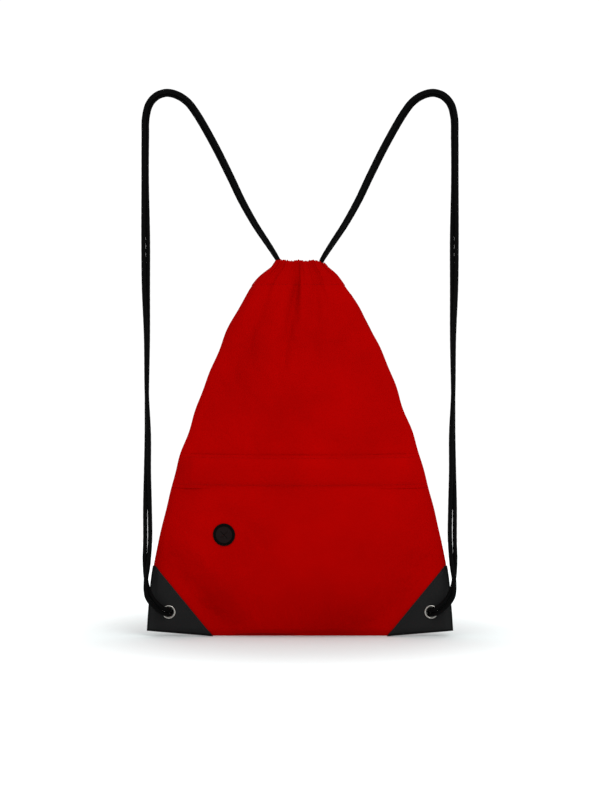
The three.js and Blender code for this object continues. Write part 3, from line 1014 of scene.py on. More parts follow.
    def finish(
        self, key: str, sheet: Piece, face: Face, free: tuple[float, float], *holes: Point
    ) -> None:
        """Settles, pierces, thickens and dresses a panel of the outer cloth.

        Args:
            key: What the log calls the panel.
            sheet: The panel, one face thick.
            face: The front or the back.
            free: The heights between which it settles freely.
            holes: The x, the height and the radius of each hole.
        """
        face_out(sheet, face.out)
        ClothSettling().settle(sheet, self.held(sheet, free))
        if holes:
            cut_holes(sheet, *holes)
        thicken(sheet, self.cloth)
        dress(smooth(sheet, 70), self.finishes.cloth)
        self.made[key] = sheet

    def blend_to_lip(self, piece: Piece, face: Face) -> None:
        """Moves a piece's place, turn and size into its mesh."""
        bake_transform(piece)

    def build_front(self) -> None:
        """Makes the upper front panel and the pocket's front."""
        upper = self.hemmed("front_upper_cloth", Face.FRONT, lambda x: self.zip_head)
        self.finish("upper", upper, Face.FRONT, (204, 385))
        self.blend_to_lip(upper, Face.FRONT)
        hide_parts("front_upper_panel", "front_channel")

        def place(u: float, v: float) -> Point:
            """A point of the pocket's front, whose foot is drawn in to the seam."""
            a = 2 * u - 1
            start = SHAPE.bottom(a * SHAPE.half_width(0))
            height = start + (self.zip_foot - start) * v
            x, y = self.outer(a, height, Face.FRONT)
            foot = smoothstep(height - start, 0, 7)
            return x, -0.2 + (y + 0.2) * foot, height

        lower = sheet_mesh("front_pocket_cloth", place, self.columns, 84, (self.cut_width, 186.0))
        port = (PORT.x, PORT.height, PORT.hole)
        self.finish("lower", lower, Face.FRONT, (2, 240), port, *EYELET_HOLES)
        stand_for(lower, "bag", "front_lower_panel")

    def build_back(self) -> None:
        """Makes the back panel, in one length from the bottom edge to the collar."""
        back = self.hemmed("back_cloth", Face.BACK, SHAPE.bottom)
        for vertex in back.data.vertices:
            x, y, z = vertex.co / MM
            above = z + HANG_DROP - SHAPE.bottom(x)
            if above < 7:
                vertex.co.y = (0.2 + (y - 0.2) * smoothstep(above, 0, 7)) * MM
        self.finish("back", back, Face.BACK, (2, 385), *EYELET_HOLES)
        self.blend_to_lip(back, Face.BACK)
        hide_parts("back_panel", "back_channel")

    def flap_point(self, a: float, height: float) -> Point:
        """A point of the flap's outer face."""
        x, y = self.outer(a, height, Face.FRONT)
        ends = 1 - smoothstep(abs(a), 0.86, 0.985)
        sag = 0.35 * math.cos(8 * a)
        stand = 0.5 + (through(self.flap_stand, height) - 0.5 + sag) * ends
        tack = 0.8 * math.exp(-(((x + 123.5) / 1.6) ** 2)) * smoothstep(height, 168, 174)
        return x, y - stand + tack * ends, height

    def build_flap(self) -> None:
        """Makes the flap that covers the zip, sewn in along its top."""
        rise = self.flap_head - self.flap_foot

        def place(u: float, v: float) -> Point:
            """A point of the flap, just short of the side seams."""
            return self.flap_point((2 * u - 1) * 0.997, self.flap_foot + rise * v)

        flap = sheet_mesh("zip_flap_cloth", place, self.columns, 24, (276.0, 40.0))
        thicken(face_out(flap, Face.FRONT.out), self.flap_cloth)
        dress(smooth(flap, 60), self.finishes.cloth)
        self.blend_to_flap(flap)
        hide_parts("zip_flap")
        self.made["flap"] = flap

    def blend_to_flap(self, piece: Piece) -> None:
        """Moves a piece's place, turn and size into its mesh."""
        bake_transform(piece)

    def build_inside(self) -> None:
        """Makes the pocket's lining and the bound seams, which show through the mouth."""

        def lining(u: float, v: float) -> Point:
            """A point of the lining, a little slack inside the front."""
            a = (2 * u - 1) * 0.985
            start = SHAPE.bottom(a * SHAPE.half_width(0)) + 1.0
            height = start + (self.lining_head - start) * v
            x = a * SHAPE.half_width(height)
            slack = 0.4 * math.sin(5 * a + height / 31) * smoothstep(1 - abs(a), 0, 0.3)
            rim = smoothstep(1 - abs(a), 0.012, 0.06) * smoothstep(height - start, 0, 8)
            swell = 0.79 * SHAPE.swell(x, height, Face.FRONT)
            return x, -(0.1 + 0.9 * rim + swell - slack), height

        sheet = sheet_mesh("pocket_lining_cloth", lining, 60, 48, (self.cut_width, 212.0))
        cut_holes(sheet, *EYELET_HOLES)
        thicken(face_out(sheet, Face.FRONT.out), self.lining_cloth, round_edge=False)
        dress(smooth(sheet, 70), self.finishes.lining)
        stand_for(sheet, "bag", "pocket_lining")
        for side in Side:
            line = [(side.value * (SHAPE.half_width(h) - 1.0), h) for h in np.linspace(18, 382, 90)]
            inwards = Vector((-side.value, 0))
            name = f"side_seam_binding_{side.word}"
            self.build_binding(name, line, inwards, f"side_seam_{side.word}")
        line = [(x, SHAPE.bottom(x) + 0.6) for x in np.linspace(-166, 166, 90)]
        self.build_binding("bottom_seam_binding", line, Vector((0, 1)), "bottom_seam")

    def build_binding(
        self, name: str, line: list[tuple[float, float]], inwards: Vector, node: str
    ) -> None:
        """Makes one seam allowance, folded in a narrow tape with an overlocked ripple.

        Args:
            name: What the piece is called.
            line: Points of x and height along the seam.
            inwards: Which way the allowance points, as x and height.
            node: The CAD node that it stands for.
        """
        width = 9.0

        def place(u: float, v: float) -> Point:
            """A point of the allowance, with its overlocked ripple."""
            x, height = line[round(v * (len(line) - 1))]
            ripple = 0.18 * math.sin(v * 420)
            return x + inwards.x * width * u, ripple * u, height + inwards.y * width * u

        strip = sheet_mesh(name, place, 5, len(line) - 1, (width, 370.0))
        dress(thin_strip(strip, 0.8), self.finishes.lining)
        stand_for(strip, "bag", node)

    def build(self) -> Surface:
        """Makes all the cloth and returns its outer face."""
        self.build_front()
        self.build_back()
        self.build_flap()
        self.build_inside()
        for name, piece in self.made.items():
            log.info("cloth %s: %d faces", name, len(piece.data.polygons))
        return Surface(tuple(self.made.values()))


# ------------------------------------------------------------------ stitching


@dataclass(frozen=True)
class Stitching:
    """Lockstitched thread: short fat dashes that sink into the cloth at each end."""

    length: float = 2.7
    pitch: float = 3.5
    thread: float = 0.34  # radius; the real thread's is 0.15, too thin to show
    sides: int = 6
    # Places along one stitch, and the thread's share of its full radius there.
    rings: Curve = ((0.0, 0.35), (0.12, 0.85), (0.5, 1.0), (0.88, 0.85), (1.0, 0.35))

    def run(self, name: str, line: SeamLine, material: Material, slot: str) -> Piece:
        """Lays stitches along a line on the cloth.

        Args:
            name: What the piece is called.
            line: Points and normals along the seam, in the frame's metres.
            material: The thread's finish.
            slot: Not used.

        Returns:
            One mesh with every stitch in it.
        """
        points = [p for p, _ in line]
        reach = [0.0]
        for a, b in zip(points, points[1:]):
            reach.append(reach[-1] + (b - a).length)
        vertices: list[Vector] = []
        faces: list[tuple[int, ...]] = []
        at = 0.5 * self.pitch * MM
        while at + self.length * MM < reach[-1]:
            start, normal = self.along(line, reach, at)
            end, _ = self.along(line, reach, at + self.length * MM)
            ahead = (end - start).normalized()
            aside = ahead.cross(normal).normalized()
            faces += tube_faces(len(self.rings), self.sides, len(vertices))
            for t, swell in self.rings:
                middle = start.lerp(end, t) + normal * self.thread * MM * (0.2 + 0.5 * swell)
                for k in range(self.sides):
                    turn = 2 * math.pi * k / self.sides
                    out = aside * math.cos(turn) + normal * math.sin(turn)
                    vertices.append(middle + out * self.thread * MM * swell)
            at += self.pitch * MM
        seam = new_piece(name, [tuple(v) for v in vertices], faces)
        return dress(smooth(outward(seam), 60), material)

    @staticmethod
    def along(line: SeamLine, reach: list[float], at: float) -> tuple[Vector, Vector]:
        """The point and normal at a length along a line."""
        i = next(k for k in range(1, len(reach)) if reach[k] >= at or k == len(reach) - 1)
        t = clamp((at - reach[i - 1]) / max(reach[i] - reach[i - 1], 1e-9))
        (point, normal), (next_point, next_normal) = line[i - 1], line[i]
        return point.lerp(next_point, t), normal.lerp(next_normal, t).normalized()


# ------------------------------------------------------------------ cords


@dataclass(frozen=True)
class CordTube:
    """A round braided cord laid along a smooth line."""

    radius: float = 2.5
    sides: int = 20
    step: float = 1.6
    relief: float = 0.07  # how far the braid's strands stand up and sink in
    braid: float = 3.1  # length of cord for each radian of the strands' turn

    @staticmethod
    def smooth_line(points: Sequence[Vector], step: float) -> list[Vector]:
        """Draws a centripetal Catmull-Rom line through points, evenly stepped.

        Args:
            points: Where the line passes, in mm.
            step: Distance between the returned points, in mm.

        Returns:
            Points along the line, in mm.
        """
        ends = [2 * points[0] - points[1], *points, 2 * points[-1] - points[-2]]
        dense: list[Vector] = []
        for i in range(1, len(ends) - 2):
            p = ends[i - 1 : i + 3]
            t = [0.0]
            for a, b in zip(p, p[1:]):
                t.append(t[-1] + max((b - a).length, 1e-6) ** 0.5)
            count = max(4, int((p[2] - p[1]).length / 0.8))
            for k in range(count):
                s = t[1] + (t[2] - t[1]) * k / count
                a1 = p[0].lerp(p[1], (s - t[0]) / (t[1] - t[0]))
                a2 = p[1].lerp(p[2], (s - t[1]) / (t[2] - t[1]))
                a3 = p[2].lerp(p[3], (s - t[2]) / (t[3] - t[2]))
                b1 = a1.lerp(a2, (s - t[0]) / (t[2] - t[0]))
                b2 = a2.lerp(a3, (s - t[1]) / (t[3] - t[1]))
                dense.append(b1.lerp(b2, (s - t[1]) / (t[2] - t[1])))
        dense.append(ends[-2].copy())
        line = [dense[0]]
        carried = 0.0
        for a, b in zip(dense, dense[1:]):
            span = (b - a).length
            while carried + span >= step:
                t = (step - carried) / span
                a = a.lerp(b, t)
                line.append(a.copy())
                span = (b - a).length
                carried = 0.0
            carried += span
        if (line[-1] - dense[-1]).length > step * 0.3:
            line.append(dense[-1])
        return line

    def lay(self, name: str, points: Sequence[Vector]) -> tuple[Piece, list[Vector]]:
        """Makes the cord's mesh, closed at both ends, with the braid's UV map in mm.

        Args:
            name: What the piece is called.
            points: Where its middle passes, in mm of the bag.

        Returns:
            The cord, and the line it follows in the frame's metres.
        """
        line = self.smooth_line(points, self.step)
        heading = headings(line)
        aside = heading[0].orthogonal().normalized()
        vertices: list[Point] = []
        for i, (middle, ahead) in enumerate(zip(line, heading)):
            if i:
                aside = heading[i - 1].rotation_difference(ahead) @ aside
                aside = (aside - ahead * aside.dot(ahead)).normalized()
            up = ahead.cross(aside)
            for k in range(self.sides):
                turn = 2 * math.pi * k / self.sides
                along = i * self.step / self.braid
                scale = math.cos(5 * (turn + along)) * math.cos(5 * (turn - along))
                out = aside * math.cos(turn) + up * math.sin(turn)
                point = middle + out * (self.radius + self.relief * scale)
                vertices.append(in_frame(*point))
        uvs: list[tuple[float, float]] = []
        girth = 2 * math.pi * self.radius
        for i in range(len(line) - 1):
            for k in range(self.sides):
                for du, dv in ((0, 0), (1, 0), (1, 1), (0, 1)):
                    uvs.append((girth * (k + du) / self.sides, self.step * (i + dv)))
        uvs.extend([(0.0, 0.0)] * (2 * self.sides))
        cord = new_piece(name, vertices, tube_faces(len(line), self.sides))
        layer = cord.data.uv_layers.new(name="UVMap")
        for loop, uv in zip(layer.data, uvs):
            loop.uv = uv
        smooth(cord, 50)
        return cord, [Vector(in_frame(*p)) for p in line]


@dataclass
class Drawcords:
    """Two drawcords. Each runs through the hem both ways and down to one corner's eyelet."""

    finishes: Finishes
    radius: float = 2.5
    tunnel: float = 407.0  # height of the cords' middle inside the hem
    level: float = 2.8  # how far above and below it the two cords lie
    # The middle of a pair of strands from the hem over the peg and down to the eyelet:
    # out from the middle, y, height, the front strand's angle about the pair, half spacing.
    route: tuple[tuple[float, float, float, float, float], ...] = (
        (12.0, 0, 408.4, 90, 9.2), (17.5, 0, 408.8, 90, 8.6), (20.4, 0, 410.6, 90, 8.1),
        (22.4, 0, 414.2, 90, 7.8), (24.6, 0, 419.6, 88, 6.9), (31.4, 0, 430.8, 82, 4.9),
        (38.4, 0, 441.4, 74, 3.6), (49.8, 0, 458.7, 62, 2.8), (64.8, 0, 485.4, 52, 2.7),
        (77.5, 0, 512, 48, 2.7), (95.4, 0, 547.7, 46, 2.7), (115.9, 0, 583.2, 44, 2.7),
        (125.4, 0, 595.2, 44, 2.7), (136, 0, 602.2, 44, 2.7), (147.6, 0, 605.0, 45, 2.7),
        (158.6, 0, 601.8, 45, 2.7), (167, 0, 593, 46, 2.7), (171.2, -0.5, 578, 48, 2.7),
        (171.8, -1, 555, 50, 2.7), (172, -2, 510, 52, 2.7), (171.5, -3, 441, 24, 2.7),
        (171.3, -4, 390, 38, 2.7), (170.2, -5, 334, 70, 2.7), (170.4, -6, 270, 92, 2.7),
        (169.4, -7, 225, 118, 2.7), (169.8, -8, 185, 128, 2.7), (169.8, -9, 145, 160, 2.7),
        (169.6, -10, 110, 172, 2.7), (170.8, -11, 82, 140, 2.7), (171.2, -12, 60, 80, 2.6),
        (168.0, -13.2, 45.6, 24, 2.6), (159.8, -13.8, 34.8, 4, 2.6), (151.2, -12, 28.6, 0, 2.6),
        (146.9, -7, 27.3, 0, 2.7), (146.5, -1, 27, 0, 2.7), (146.5, 6.5, 27, 0, 2.7),
    )

    def strand(self, side: Side, front: bool) -> list[Vector]:
        """One strand of a pair, carried along the route in a frame that never twists itself."""
        middle = [Vector((side.value * x, y, h)) for x, y, h, _, _ in self.route]
        heading = headings(middle)
        ahead = Face.FRONT.out
        aside = ahead.cross(heading[0]).normalized() * side.value
        points = []
        for i, point in enumerate(middle):
            if i:
                turn = heading[i - 1].rotation_difference(heading[i])
                ahead, aside = turn @ ahead, turn @ aside
            angle = math.radians(self.route[i][3])
            reach = (1 if front else -1) * self.route[i][4]
            points.append(
                point + aside * reach * math.cos(angle) + ahead * reach * math.sin(angle)
            )
        return points

    def build_straps(self) -> None:
        """Lays the four free strands."""
        tube = CordTube(self.radius)
        for side in Side:
            for face in Face:
                front = face is Face.FRONT
                name = f"strap_{side.word}_{face.word}"
                cord, line = tube.lay(name + "_cord", self.strand(side, front))
                dress(cord, self.finishes.cord)
                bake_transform(cord)
                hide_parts(name)

    def fixed(self, tube: CordTube, name: str, points: Sequence[Vector], body: str) -> Piece:
        """Lays a length of cord that moves with one body."""
        cord, _ = tube.lay(name + "_cord", points)
        dress(cord, self.finishes.cord)
        stand_for(cord, body, name)
        return cord

    def build_runs(self) -> None:
        """Lays the hidden runs through the hem and the turns at its ends."""
        tube = CordTube(self.radius, sides=12, step=2.0)
        for face in Face:
            for side in Side:
                points = []
                for i in range(11):
                    x = -20 + 4 * i
                    angle = clamp(side.value * x / 20, -1, 1) * math.pi / 2
                    depth = 11.4 - 3.3 * (x / 20) ** 2 - side.value * self.level * math.cos(angle)
                    height = self.tunnel + self.level * math.sin(angle)
                    points.append(Vector((x, face.value * depth, height)))
                name = f"drawcord_{side.word}_run_{face.word}"
                self.fixed(tube, name, points, f"{face.word}_lip")
        for side in Side:
            points = []
            for a in np.linspace(-math.pi / 2, math.pi / 2, 11):
                x = -side.value * (20.3 + 5.2 * math.cos(a) + 0.4)
                points.append(Vector((x, 8.1 * math.sin(a), self.tunnel - self.level)))
            self.fixed(tube, f"drawcord_{side.word}_turn", points, "bag")

    def build_knots(self) -> dict[Side, Piece]:
        """Ties the strands' ends behind each eyelet in a pulled-tight overhand knot."""
        tube = CordTube(2.35, 16, 1.2)
        knots = {}
        for side in Side:
            centre = Vector((side.value * EYELET[0], 12.6, EYELET[1]))
            points = []
            for t in np.linspace(0.12, 2 * math.pi - 0.12, 44):
                x = 2.0 * (math.sin(t) + 2 * math.sin(2 * t))
                z = 2.0 * (math.cos(t) - 2 * math.cos(2 * t))
                y = -2.7 * math.sin(3 * t)
                points.append(centre + Vector((x * 0.86, y, z * 0.86)))
            tail_out = centre + Vector((side.value * 3.0, 5.5, -8.0))
            knots[side] = self.fixed(tube, f"knot_{side.word}", [*points, tail_out], "bag")
        return knots

    def build(self) -> None:
        """Makes every part of both drawcords."""
        knots = self.build_knots()
        self.build_straps()
        self.build_runs()


# ------------------------------------------------------------------ corners and hardware


@dataclass
class Corners:
    """The four coated patches, the two eyelets set through them, and their washers."""

    finishes: Finishes
    stitching: Stitching
    thickness: float = 0.8
    lift: float = 0.95  # from the cloth's face out to the patch's
    head: float = 78.5
    hem: float = 0.9  # how far the patch laps the side seam
    hole: float = 5.9  # radius of the hole that the eyelet's barrel goes through
    barrel: float = 6.1
    seam_in: float = 2.6  # from the slanting edge to its stitches
    fold: float = 1.9  # width of the band of painted shade along the folded edges beside the seams

    def surface(self, x: float, height: float, face: Face) -> float:
        """How far out the patch's outer face is at a point."""
        wide = SHAPE.half_width(height)
        rim = smoothstep(1 - min(1.0, abs(x) / wide), 0.0, 0.05)
        cloth = SHAPE.seam_gap + SHAPE.loft * rim + SHAPE.swell(x, height, face)
        above = height - SHAPE.bottom(x)
        low = smoothstep(above, -0.6, 7)
        inside = smoothstep(wide + self.hem - abs(x), 0, 2.5)
        past = SHAPE.past_patch_edge(x, height)
        turned = 0.28 * (1 - smoothstep(past, 5.5, 7))
        cockle = 0.25 * math.sin(x / 6.3 + height / 9.7) * smoothstep(past, 8, 20)
        full = 0.45 + (cloth + self.lift + turned - 0.45) * (0.35 + 0.65 * low)
        return 0.15 + (full + cockle * low - 0.15) * inside

    def build_patch(self, side: Side, face: Face) -> None:
        """Makes one patch: a turned slanting edge, and two edges caught in the seams."""

        def place(u: float, v: float) -> Point:
            """A point of the patch, before its slanting edge is trimmed."""
            inner = SHAPE.patch_foot - 4
            x = inner + (SHAPE.half_width(0) + self.hem - inner) * u
            low = SHAPE.bottom(x) - 0.5
            height = low + (self.head - low) * v
            x = inner + (SHAPE.half_width(height) + self.hem - inner) * u
            return side.value * x, face.value * self.surface(x, height, face), height

        name = f"corner_patch_{face.word}_{side.word}"
        patch = sheet_mesh(name + "_leather", place, 64, 60, (82.0, 76.0))
        run = Vector((SHAPE.patch_top[0] - SHAPE.patch_foot, 0, SHAPE.patch_top[1]))
        run.x *= side.value
        mesh = bmesh.new()
        mesh.from_mesh(patch.data)
        bmesh.ops.bisect_plane(
            mesh,
            geom=[*mesh.verts, *mesh.edges, *mesh.faces],
            plane_co=in_frame(side.value * SHAPE.patch_foot, 0, 0),
            plane_no=Vector((run.z, 0, -run.x)) * side.value,
            clear_inner=True,
        )
        mesh.to_mesh(patch.data)
        mesh.free()
        cut_holes(patch, (side.value * EYELET[0], EYELET[1], self.hole))
        thicken(face_out(patch, face.out), self.thickness)
        dress(smooth(patch, 60), self.finishes.coating)
        # Faces near the side and bottom seams, where the patch folds round the bag's edge, get the
        # darker black: painted shade.
        patch.data.materials.append(self.finishes.fold)
        for polygon in patch.data.polygons:
            x, _, z = polygon.center / MM
            height = z + HANG_DROP
            from_side = SHAPE.half_width(height) - abs(x)
            from_foot = height - SHAPE.bottom(x)
            in_edge_shade = min(from_side, from_foot) < self.fold
            polygon.material_index = 1 if in_edge_shade else 0
        stand_for(patch, "bag", name)

    def build_seam(self, side: Side, face: Face) -> None:
        """Sews a patch down along its slanting edge."""
        start = Vector((SHAPE.patch_foot, 0))
        end = Vector(SHAPE.patch_top)
        across = Vector(((end - start).y, -(end - start).x)).normalized() * self.seam_in
        line = []
        for t in np.linspace(0.03, 0.96, 40):
            at = start.lerp(end, t) + across
            y = face.value * self.surface(at.x, at.y, face)
            line.append((Vector(in_frame(side.value * at.x, y, at.y)), face.out))
        name = f"corner_stitches_{face.word}_{side.word}"
        seam = self.stitching.run(name, line, self.finishes.black_thread, "coated_corner")
        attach(seam, "bag")

    def ring(
        self, side: Side, y: float, radius: float, thick: float, flat: float
    ) -> Piece:
        """Makes a rolled metal ring round the eyelet's middle.

        Args:
            side: Which corner.
            y: How far back the ring's middle lies.
            radius: From the eyelet's middle to the middle of the metal.
            thick: The metal's radius across the ring.
            flat: Its depth as a share of its width.

        Returns:
            The ring.
        """
        deselect()
        bpy.ops.mesh.primitive_torus_add(
            major_segments=48,
            minor_segments=14,
            major_radius=radius * MM,
            minor_radius=thick * MM,
            location=in_frame(side.value * EYELET[0], y, EYELET[1]),
            rotation=(math.pi / 2, 0, 0),
        )
        ring = bpy.context.object
        ring.scale = (1, 1, flat)
        return ring

    def build_eyelet(self, side: Side) -> None:
        """Sets a rolled eyelet through the corner, with its barrel turned out at the back."""
        rim = self.ring(side, -(SHAPE.seam_gap + SHAPE.loft + 0.25 + self.lift), 6.7, 0.78, 0.85)
        roll = self.ring(side, 4.4, 6.5, 0.7, 1.0)
        deselect()
        bpy.ops.mesh.primitive_cylinder_add(
            vertices=48,
            radius=self.barrel * MM,
            depth=8.2 * MM,
            end_fill_type="NOTHING",
            location=in_frame(side.value * EYELET[0], 0.3, EYELET[1]),
            rotation=(math.pi / 2, 0, 0),
        )
        barrel = bpy.context.object
        modifier(barrel, "SOLIDIFY", thickness=0.3 * MM, offset=-1.0)
        apply_modifiers(barrel)
        for part in (rim, barrel, roll):
            part.select_set(True)
        bpy.context.view_layer.objects.active = rim
        bpy.ops.object.join()
        self.finish_metal(rim, f"eyelet_{side.word}")

    def finish_metal(self, piece: Piece, node: str) -> None:
        """Settles a metal piece in the frame and plates it."""
        piece.name = node + "_metal"
        bake_place(piece)
        dress(smooth(piece, 50), self.finishes.nickel)
        stand_for(piece, "bag", node)

    def build_washer(self, side: Side) -> None:
        """Lays the domed washer behind the corner that the eyelet is rolled down onto."""
        washer = self.ring(side, 3.7, 7.5, 1.35, 0.26)
        self.finish_metal(washer, f"eyelet_washer_{side.word}")

    def build(self) -> None:
        """Makes both corners, front and back."""
        for side in Side:
            for face in Face:
                self.build_patch(side, face)
                self.build_seam(side, face)
            self.build_eyelet(side)
            self.build_washer(side)


@dataclass
class CablePort:
    """A round rubber grommet: a raised rim, and a thin disc slit crosswise for a cable."""

    finishes: Finishes
    radius: float = 12.5
    rim: float = 2.8
    chamfer: float = 0.3  # width of the slope from the rim down to the disc
    sunk: float = 0.75  # how far the disc lies below the rim
    slit: tuple[float, float] = (11.0, 0.45)

    def build(self) -> None:
        """Makes the grommet on the pocket's front and the ring that backs it."""
        deselect()
        bpy.ops.mesh.primitive_cylinder_add(
            vertices=64, radius=self.radius * MM, depth=2.2 * MM, location=(0, 0, 0.45 * MM)
        )
        port = bpy.context.object
        bpy.ops.object.mode_set(mode="EDIT")
        bpy.ops.mesh.select_mode(type="FACE")
        bpy.ops.mesh.select_all(action="DESELECT")
        bpy.ops.object.mode_set(mode="OBJECT")
        for face in port.data.polygons:
            face.select = face.normal.z > 0.9
        bpy.ops.object.mode_set(mode="EDIT")
        bpy.ops.mesh.inset(thickness=self.rim * MM)
        bpy.ops.mesh.inset(thickness=self.chamfer * MM)
        bpy.ops.transform.translate(value=(0, 0, -self.sunk * MM))
        bpy.ops.object.mode_set(mode="OBJECT")
        modifier(port, "BEVEL", width=0.28 * MM, segments=3, limit_method="ANGLE")
        apply_modifiers(port)
        length, width = self.slit
        for turn in (math.pi / 4, -math.pi / 4):
            bpy.ops.mesh.primitive_cube_add(size=1)
            cutter = bpy.context.object
            cutter.scale = (length * MM, width * MM, 6 * MM)
            cutter.rotation_euler = (0, 0, turn)
            bpy.context.view_layer.update()
            modifier(port, "BOOLEAN", operation="DIFFERENCE", object=cutter, solver="EXACT")
            apply_modifiers(port)
            bpy.data.objects.remove(cutter)
        port.name = "port_grommet_rubber"
        smooth(port, 40)
        dress(port, self.finishes.rubber)
        port.data.materials.append(self.finishes.worn_rubber)
        for face in port.data.polygons:
            flat = face.center.xy.length < (self.radius - self.rim - 0.4) * MM
            face.material_index = 1 if flat and face.normal.z > 0.9 else 0
        port.matrix_world = PORT.matrix()
        bake_place(port)
        stand_for(port, "bag", "port_grommet")
        carry_over("port_backing", self.finishes.rubber)


def carry_over(node: str, material: Material) -> None:
    """Shows a CAD node as it is, in its real finish."""
    dress(bpy.data.objects[node], material)


@dataclass
class Zip:
    """The coil zip behind the flap: two tapes, two coils, its stops, slider and pull."""

    finishes: Finishes
    axis_y: float = 312.54
    radius: float = 342.54
    reach: float = 112.0  # from the middle to each end of the teeth, measured level
    tape_reach: float = 118.0
    coil: tuple[float, float] = (2.7, 2.2)  # up and down, and front to back
    wire: float = 0.36
    pitch: float = 1.5
    steps: int = 10  # points in each turn of the wire

    def on_arc(self, along: float, out: float) -> tuple[float, float]:
        """The x and y at a length along the zip, a way out from its middle."""
        turn = along / self.radius
        far = self.radius + out
        return far * math.sin(turn), self.axis_y - far * math.cos(turn)

    def build_coil(self, name: str, height: float) -> None:
        """Winds one row of teeth from a single wire."""
        span = self.radius * math.asin(self.reach / self.radius)
        points = []
        turns = int(2 * (span - 0.6) / self.pitch)
        wide, deep = (size / 2 - self.wire for size in self.coil)
        for i in range(turns * self.steps + 1):
            turn = 2 * math.pi * i / self.steps
            along = -turns * self.pitch / 2 + self.pitch * i / self.steps
            x, y = self.on_arc(along, deep * math.sin(turn))
            points.append(Vector((x, y, height + wide * math.cos(turn))))
        coil, _ = CordTube(self.wire, sides=5, step=0.9, relief=0.0).lay(name + "_wire", points)
        dress(coil, self.finishes.nylon)
        stand_for(coil, "bag", name)

    def build_tape(self, name: str, low: float, high: float) -> None:
        """Makes one woven tape behind the coil."""
        span = self.radius * math.asin(self.tape_reach / self.radius)

        def place(u: float, v: float) -> Point:
            """A point of the tape, on the zip's arc."""
            x, y = self.on_arc((2 * u - 1) * span, -1.35)
            return x, y, low + (high - low) * v

        tape = sheet_mesh(name + "_weave", place, 60, 6, (240.0, high - low))
        dress(thin_strip(tape, 0.5), self.finishes.tape)
        stand_for(tape, "bag", name)

    def build(self) -> None:
        """Makes the whole zip."""
        self.build_coil("zip_coil_upper", 191.9)
        self.build_coil("zip_coil_lower", 188.1)
        self.build_tape("zip_tape_upper", 193.6, 206.5)
        self.build_tape("zip_tape_lower", 173.5, 186.4)
        for node in ("zip_slider", "zip_pull", "zip_stop_left", "zip_stop_right"):
            carry_over(node, self.finishes.nickel)


@dataclass
class Seams:
    """The rows of red stitching on the flap and the drawcord's hem."""

    finishes: Finishes
    cloth: ClothBody
    surface: Surface
    stitching: Stitching

    def row(self, name: str, height: float, reach: float, face: Face) -> Piece:
        """Sews a level row of red stitches on the outermost cloth."""
        places = np.linspace(-reach, reach, max(12, int(reach / 1.2)))
        line = [self.surface.touch(x, height, face) for x in places]
        return self.stitching.run(name, line, self.finishes.thread, "cloth")

    def build(self) -> None:
        """Sews the flap's top and foot, and the foot of the hem, front and back."""
        for name, height in (("flap_head_stitches", 200.6), ("flap_foot_stitches", 170.6)):
            reach = SHAPE.half_width(height) * 0.965
            self.cloth.blend_to_flap(self.row(name, height, reach, Face.FRONT))
        foot = self.cloth.hem_foot + 1.5
        for face in Face:
            reach = SHAPE.half_width(foot) - 5
            row = self.row(f"hem_stitches_{face.word}", foot, reach, face)
            self.cloth.blend_to_lip(row, face)


# ------------------------------------------------------------------ the studio


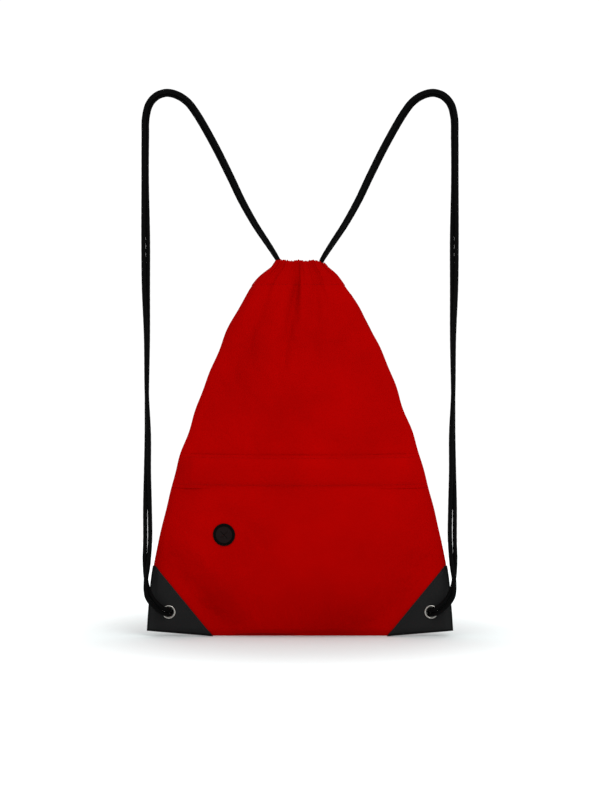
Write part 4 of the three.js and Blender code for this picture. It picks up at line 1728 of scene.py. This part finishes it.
@dataclass(frozen=True)
class Studio:
    """A white floor that glows away from the bag as painted light, and soft light from above and in
    front.
    """

    distance: float = 3.0
    frame_height: float = 0.892
    middle: float = 263.7
    elevation: float = 2.0
    floor_height: float = -0.6008

    def build_camera(self) -> None:
        """Stands the camera in front of the bag, a little above its middle."""
        aim = Vector(in_frame(0, 0, self.middle))
        rise = math.radians(self.elevation)
        place = aim + Vector((0, -math.cos(rise), math.sin(rise))) * self.distance
        bpy.ops.object.camera_add(location=place)
        camera = bpy.context.object
        camera.rotation_euler = (aim - place).to_track_quat("-Z", "Y").to_euler()
        camera.data.sensor_width = 36.0
        camera.data.lens = 36.0 * self.distance / self.frame_height
        camera.data.clip_end = 50
        bpy.context.scene.camera = camera

    def area_light(
        self, place: tuple[float, float, float], size: tuple[float, float], power: float
    ) -> None:
        """Hangs one soft light that faces the bag."""
        bpy.ops.object.light_add(type="AREA", location=place)
        light = bpy.context.object
        light.data.shape = "RECTANGLE"
        light.data.size, light.data.size_y = size
        light.data.energy = power
        aim = Vector((0, 0, -0.38))
        light.rotation_euler = (aim - light.location).to_track_quat("-Z", "Y").to_euler()

    def build_floor(self) -> None:
        """Lays the pale floor: painted light makes it glow more away from the bag, and a faint cyan
        tint offsets the red light the bag throws on it.
        """
        deselect()
        bpy.ops.mesh.primitive_plane_add(size=2.4, location=(0, 0, self.floor_height))
        floor = bpy.context.object
        floor.name = "floor"
        material, shader = new_material("painted floor, white")
        tree = material.node_tree
        place = add_node(tree, "TexCoord").outputs["Object"]
        away = add_node(tree, "VectorMath", {0: place}, operation="LENGTH").outputs["Value"]
        # Painted light: the floor glows more the further it lies from the bag's foot, leaving the
        # shade near it.
        fade = {"Value": away, 1: 0.12, 2: 0.42, 3: 0.0, 4: 0.45}
        painted_floor_glow = add_node(tree, "MapRange", fade, interpolation_type="SMOOTHSTEP")
        connect(
            shader,
            {
                # the faint cyan tint offsets the red light thrown on the floor by the bag
                "Base Color": linear("e8eeee"),
                "Roughness": 0.85,
                "Specular IOR Level": 0.1,
                "Emission Strength": painted_floor_glow.outputs[0],
                "Emission Color": (1, 1, 1, 1),
            },
        )
        floor.data.materials.append(material)

    def build_world(self, strength: float) -> None:
        """A white surround that lights the bag more gently than it looks."""
        world = bpy.data.worlds.new("white studio")
        bpy.context.scene.world = world
        world.use_nodes = True
        tree = world.node_tree
        back = next(n for n in tree.nodes if n.type == "BACKGROUND")
        ray = add_node(tree, "LightPath").outputs["Is Camera Ray"]
        seen = add_node(tree, "Mix", {0: ray, 2: strength, 3: 1.05}, data_type="FLOAT")
        connect(back, {"Strength": seen.outputs[0], "Color": (1, 1, 1, 1)})

    def build(self) -> None:
        """Sets the light, the floor and the plain colour response."""
        self.build_floor()
        self.build_world(0.5)
        self.area_light((0.9, -2.1, 1.2), (1.4, 1.2), 21)
        self.area_light((0.0, -0.35, 1.9), (5.0, 5.0), 64)
        view = bpy.context.scene.view_settings
        view.view_transform = "Standard"
        view.look = "None"
        view.exposure = 0.0
        view.gamma = 1.0


def main() -> None:
    """Builds the whole picture on the loaded frame."""
    logging.basicConfig(level=logging.INFO, format="%(name)s: %(message)s")
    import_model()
    studio = Studio()
    studio.build_camera()
    finishes = Finishes()
    Drawcords(finishes).build()
    cloth = ClothBody(finishes)
    surface = cloth.build()
    Corners(finishes, Stitching()).build()
    CablePort(finishes).build()
    Zip(finishes).build()
    Seams(finishes, cloth, surface, Stitching(thread=0.22)).build()
    studio.build()


if __name__ == "__main__":
    main()
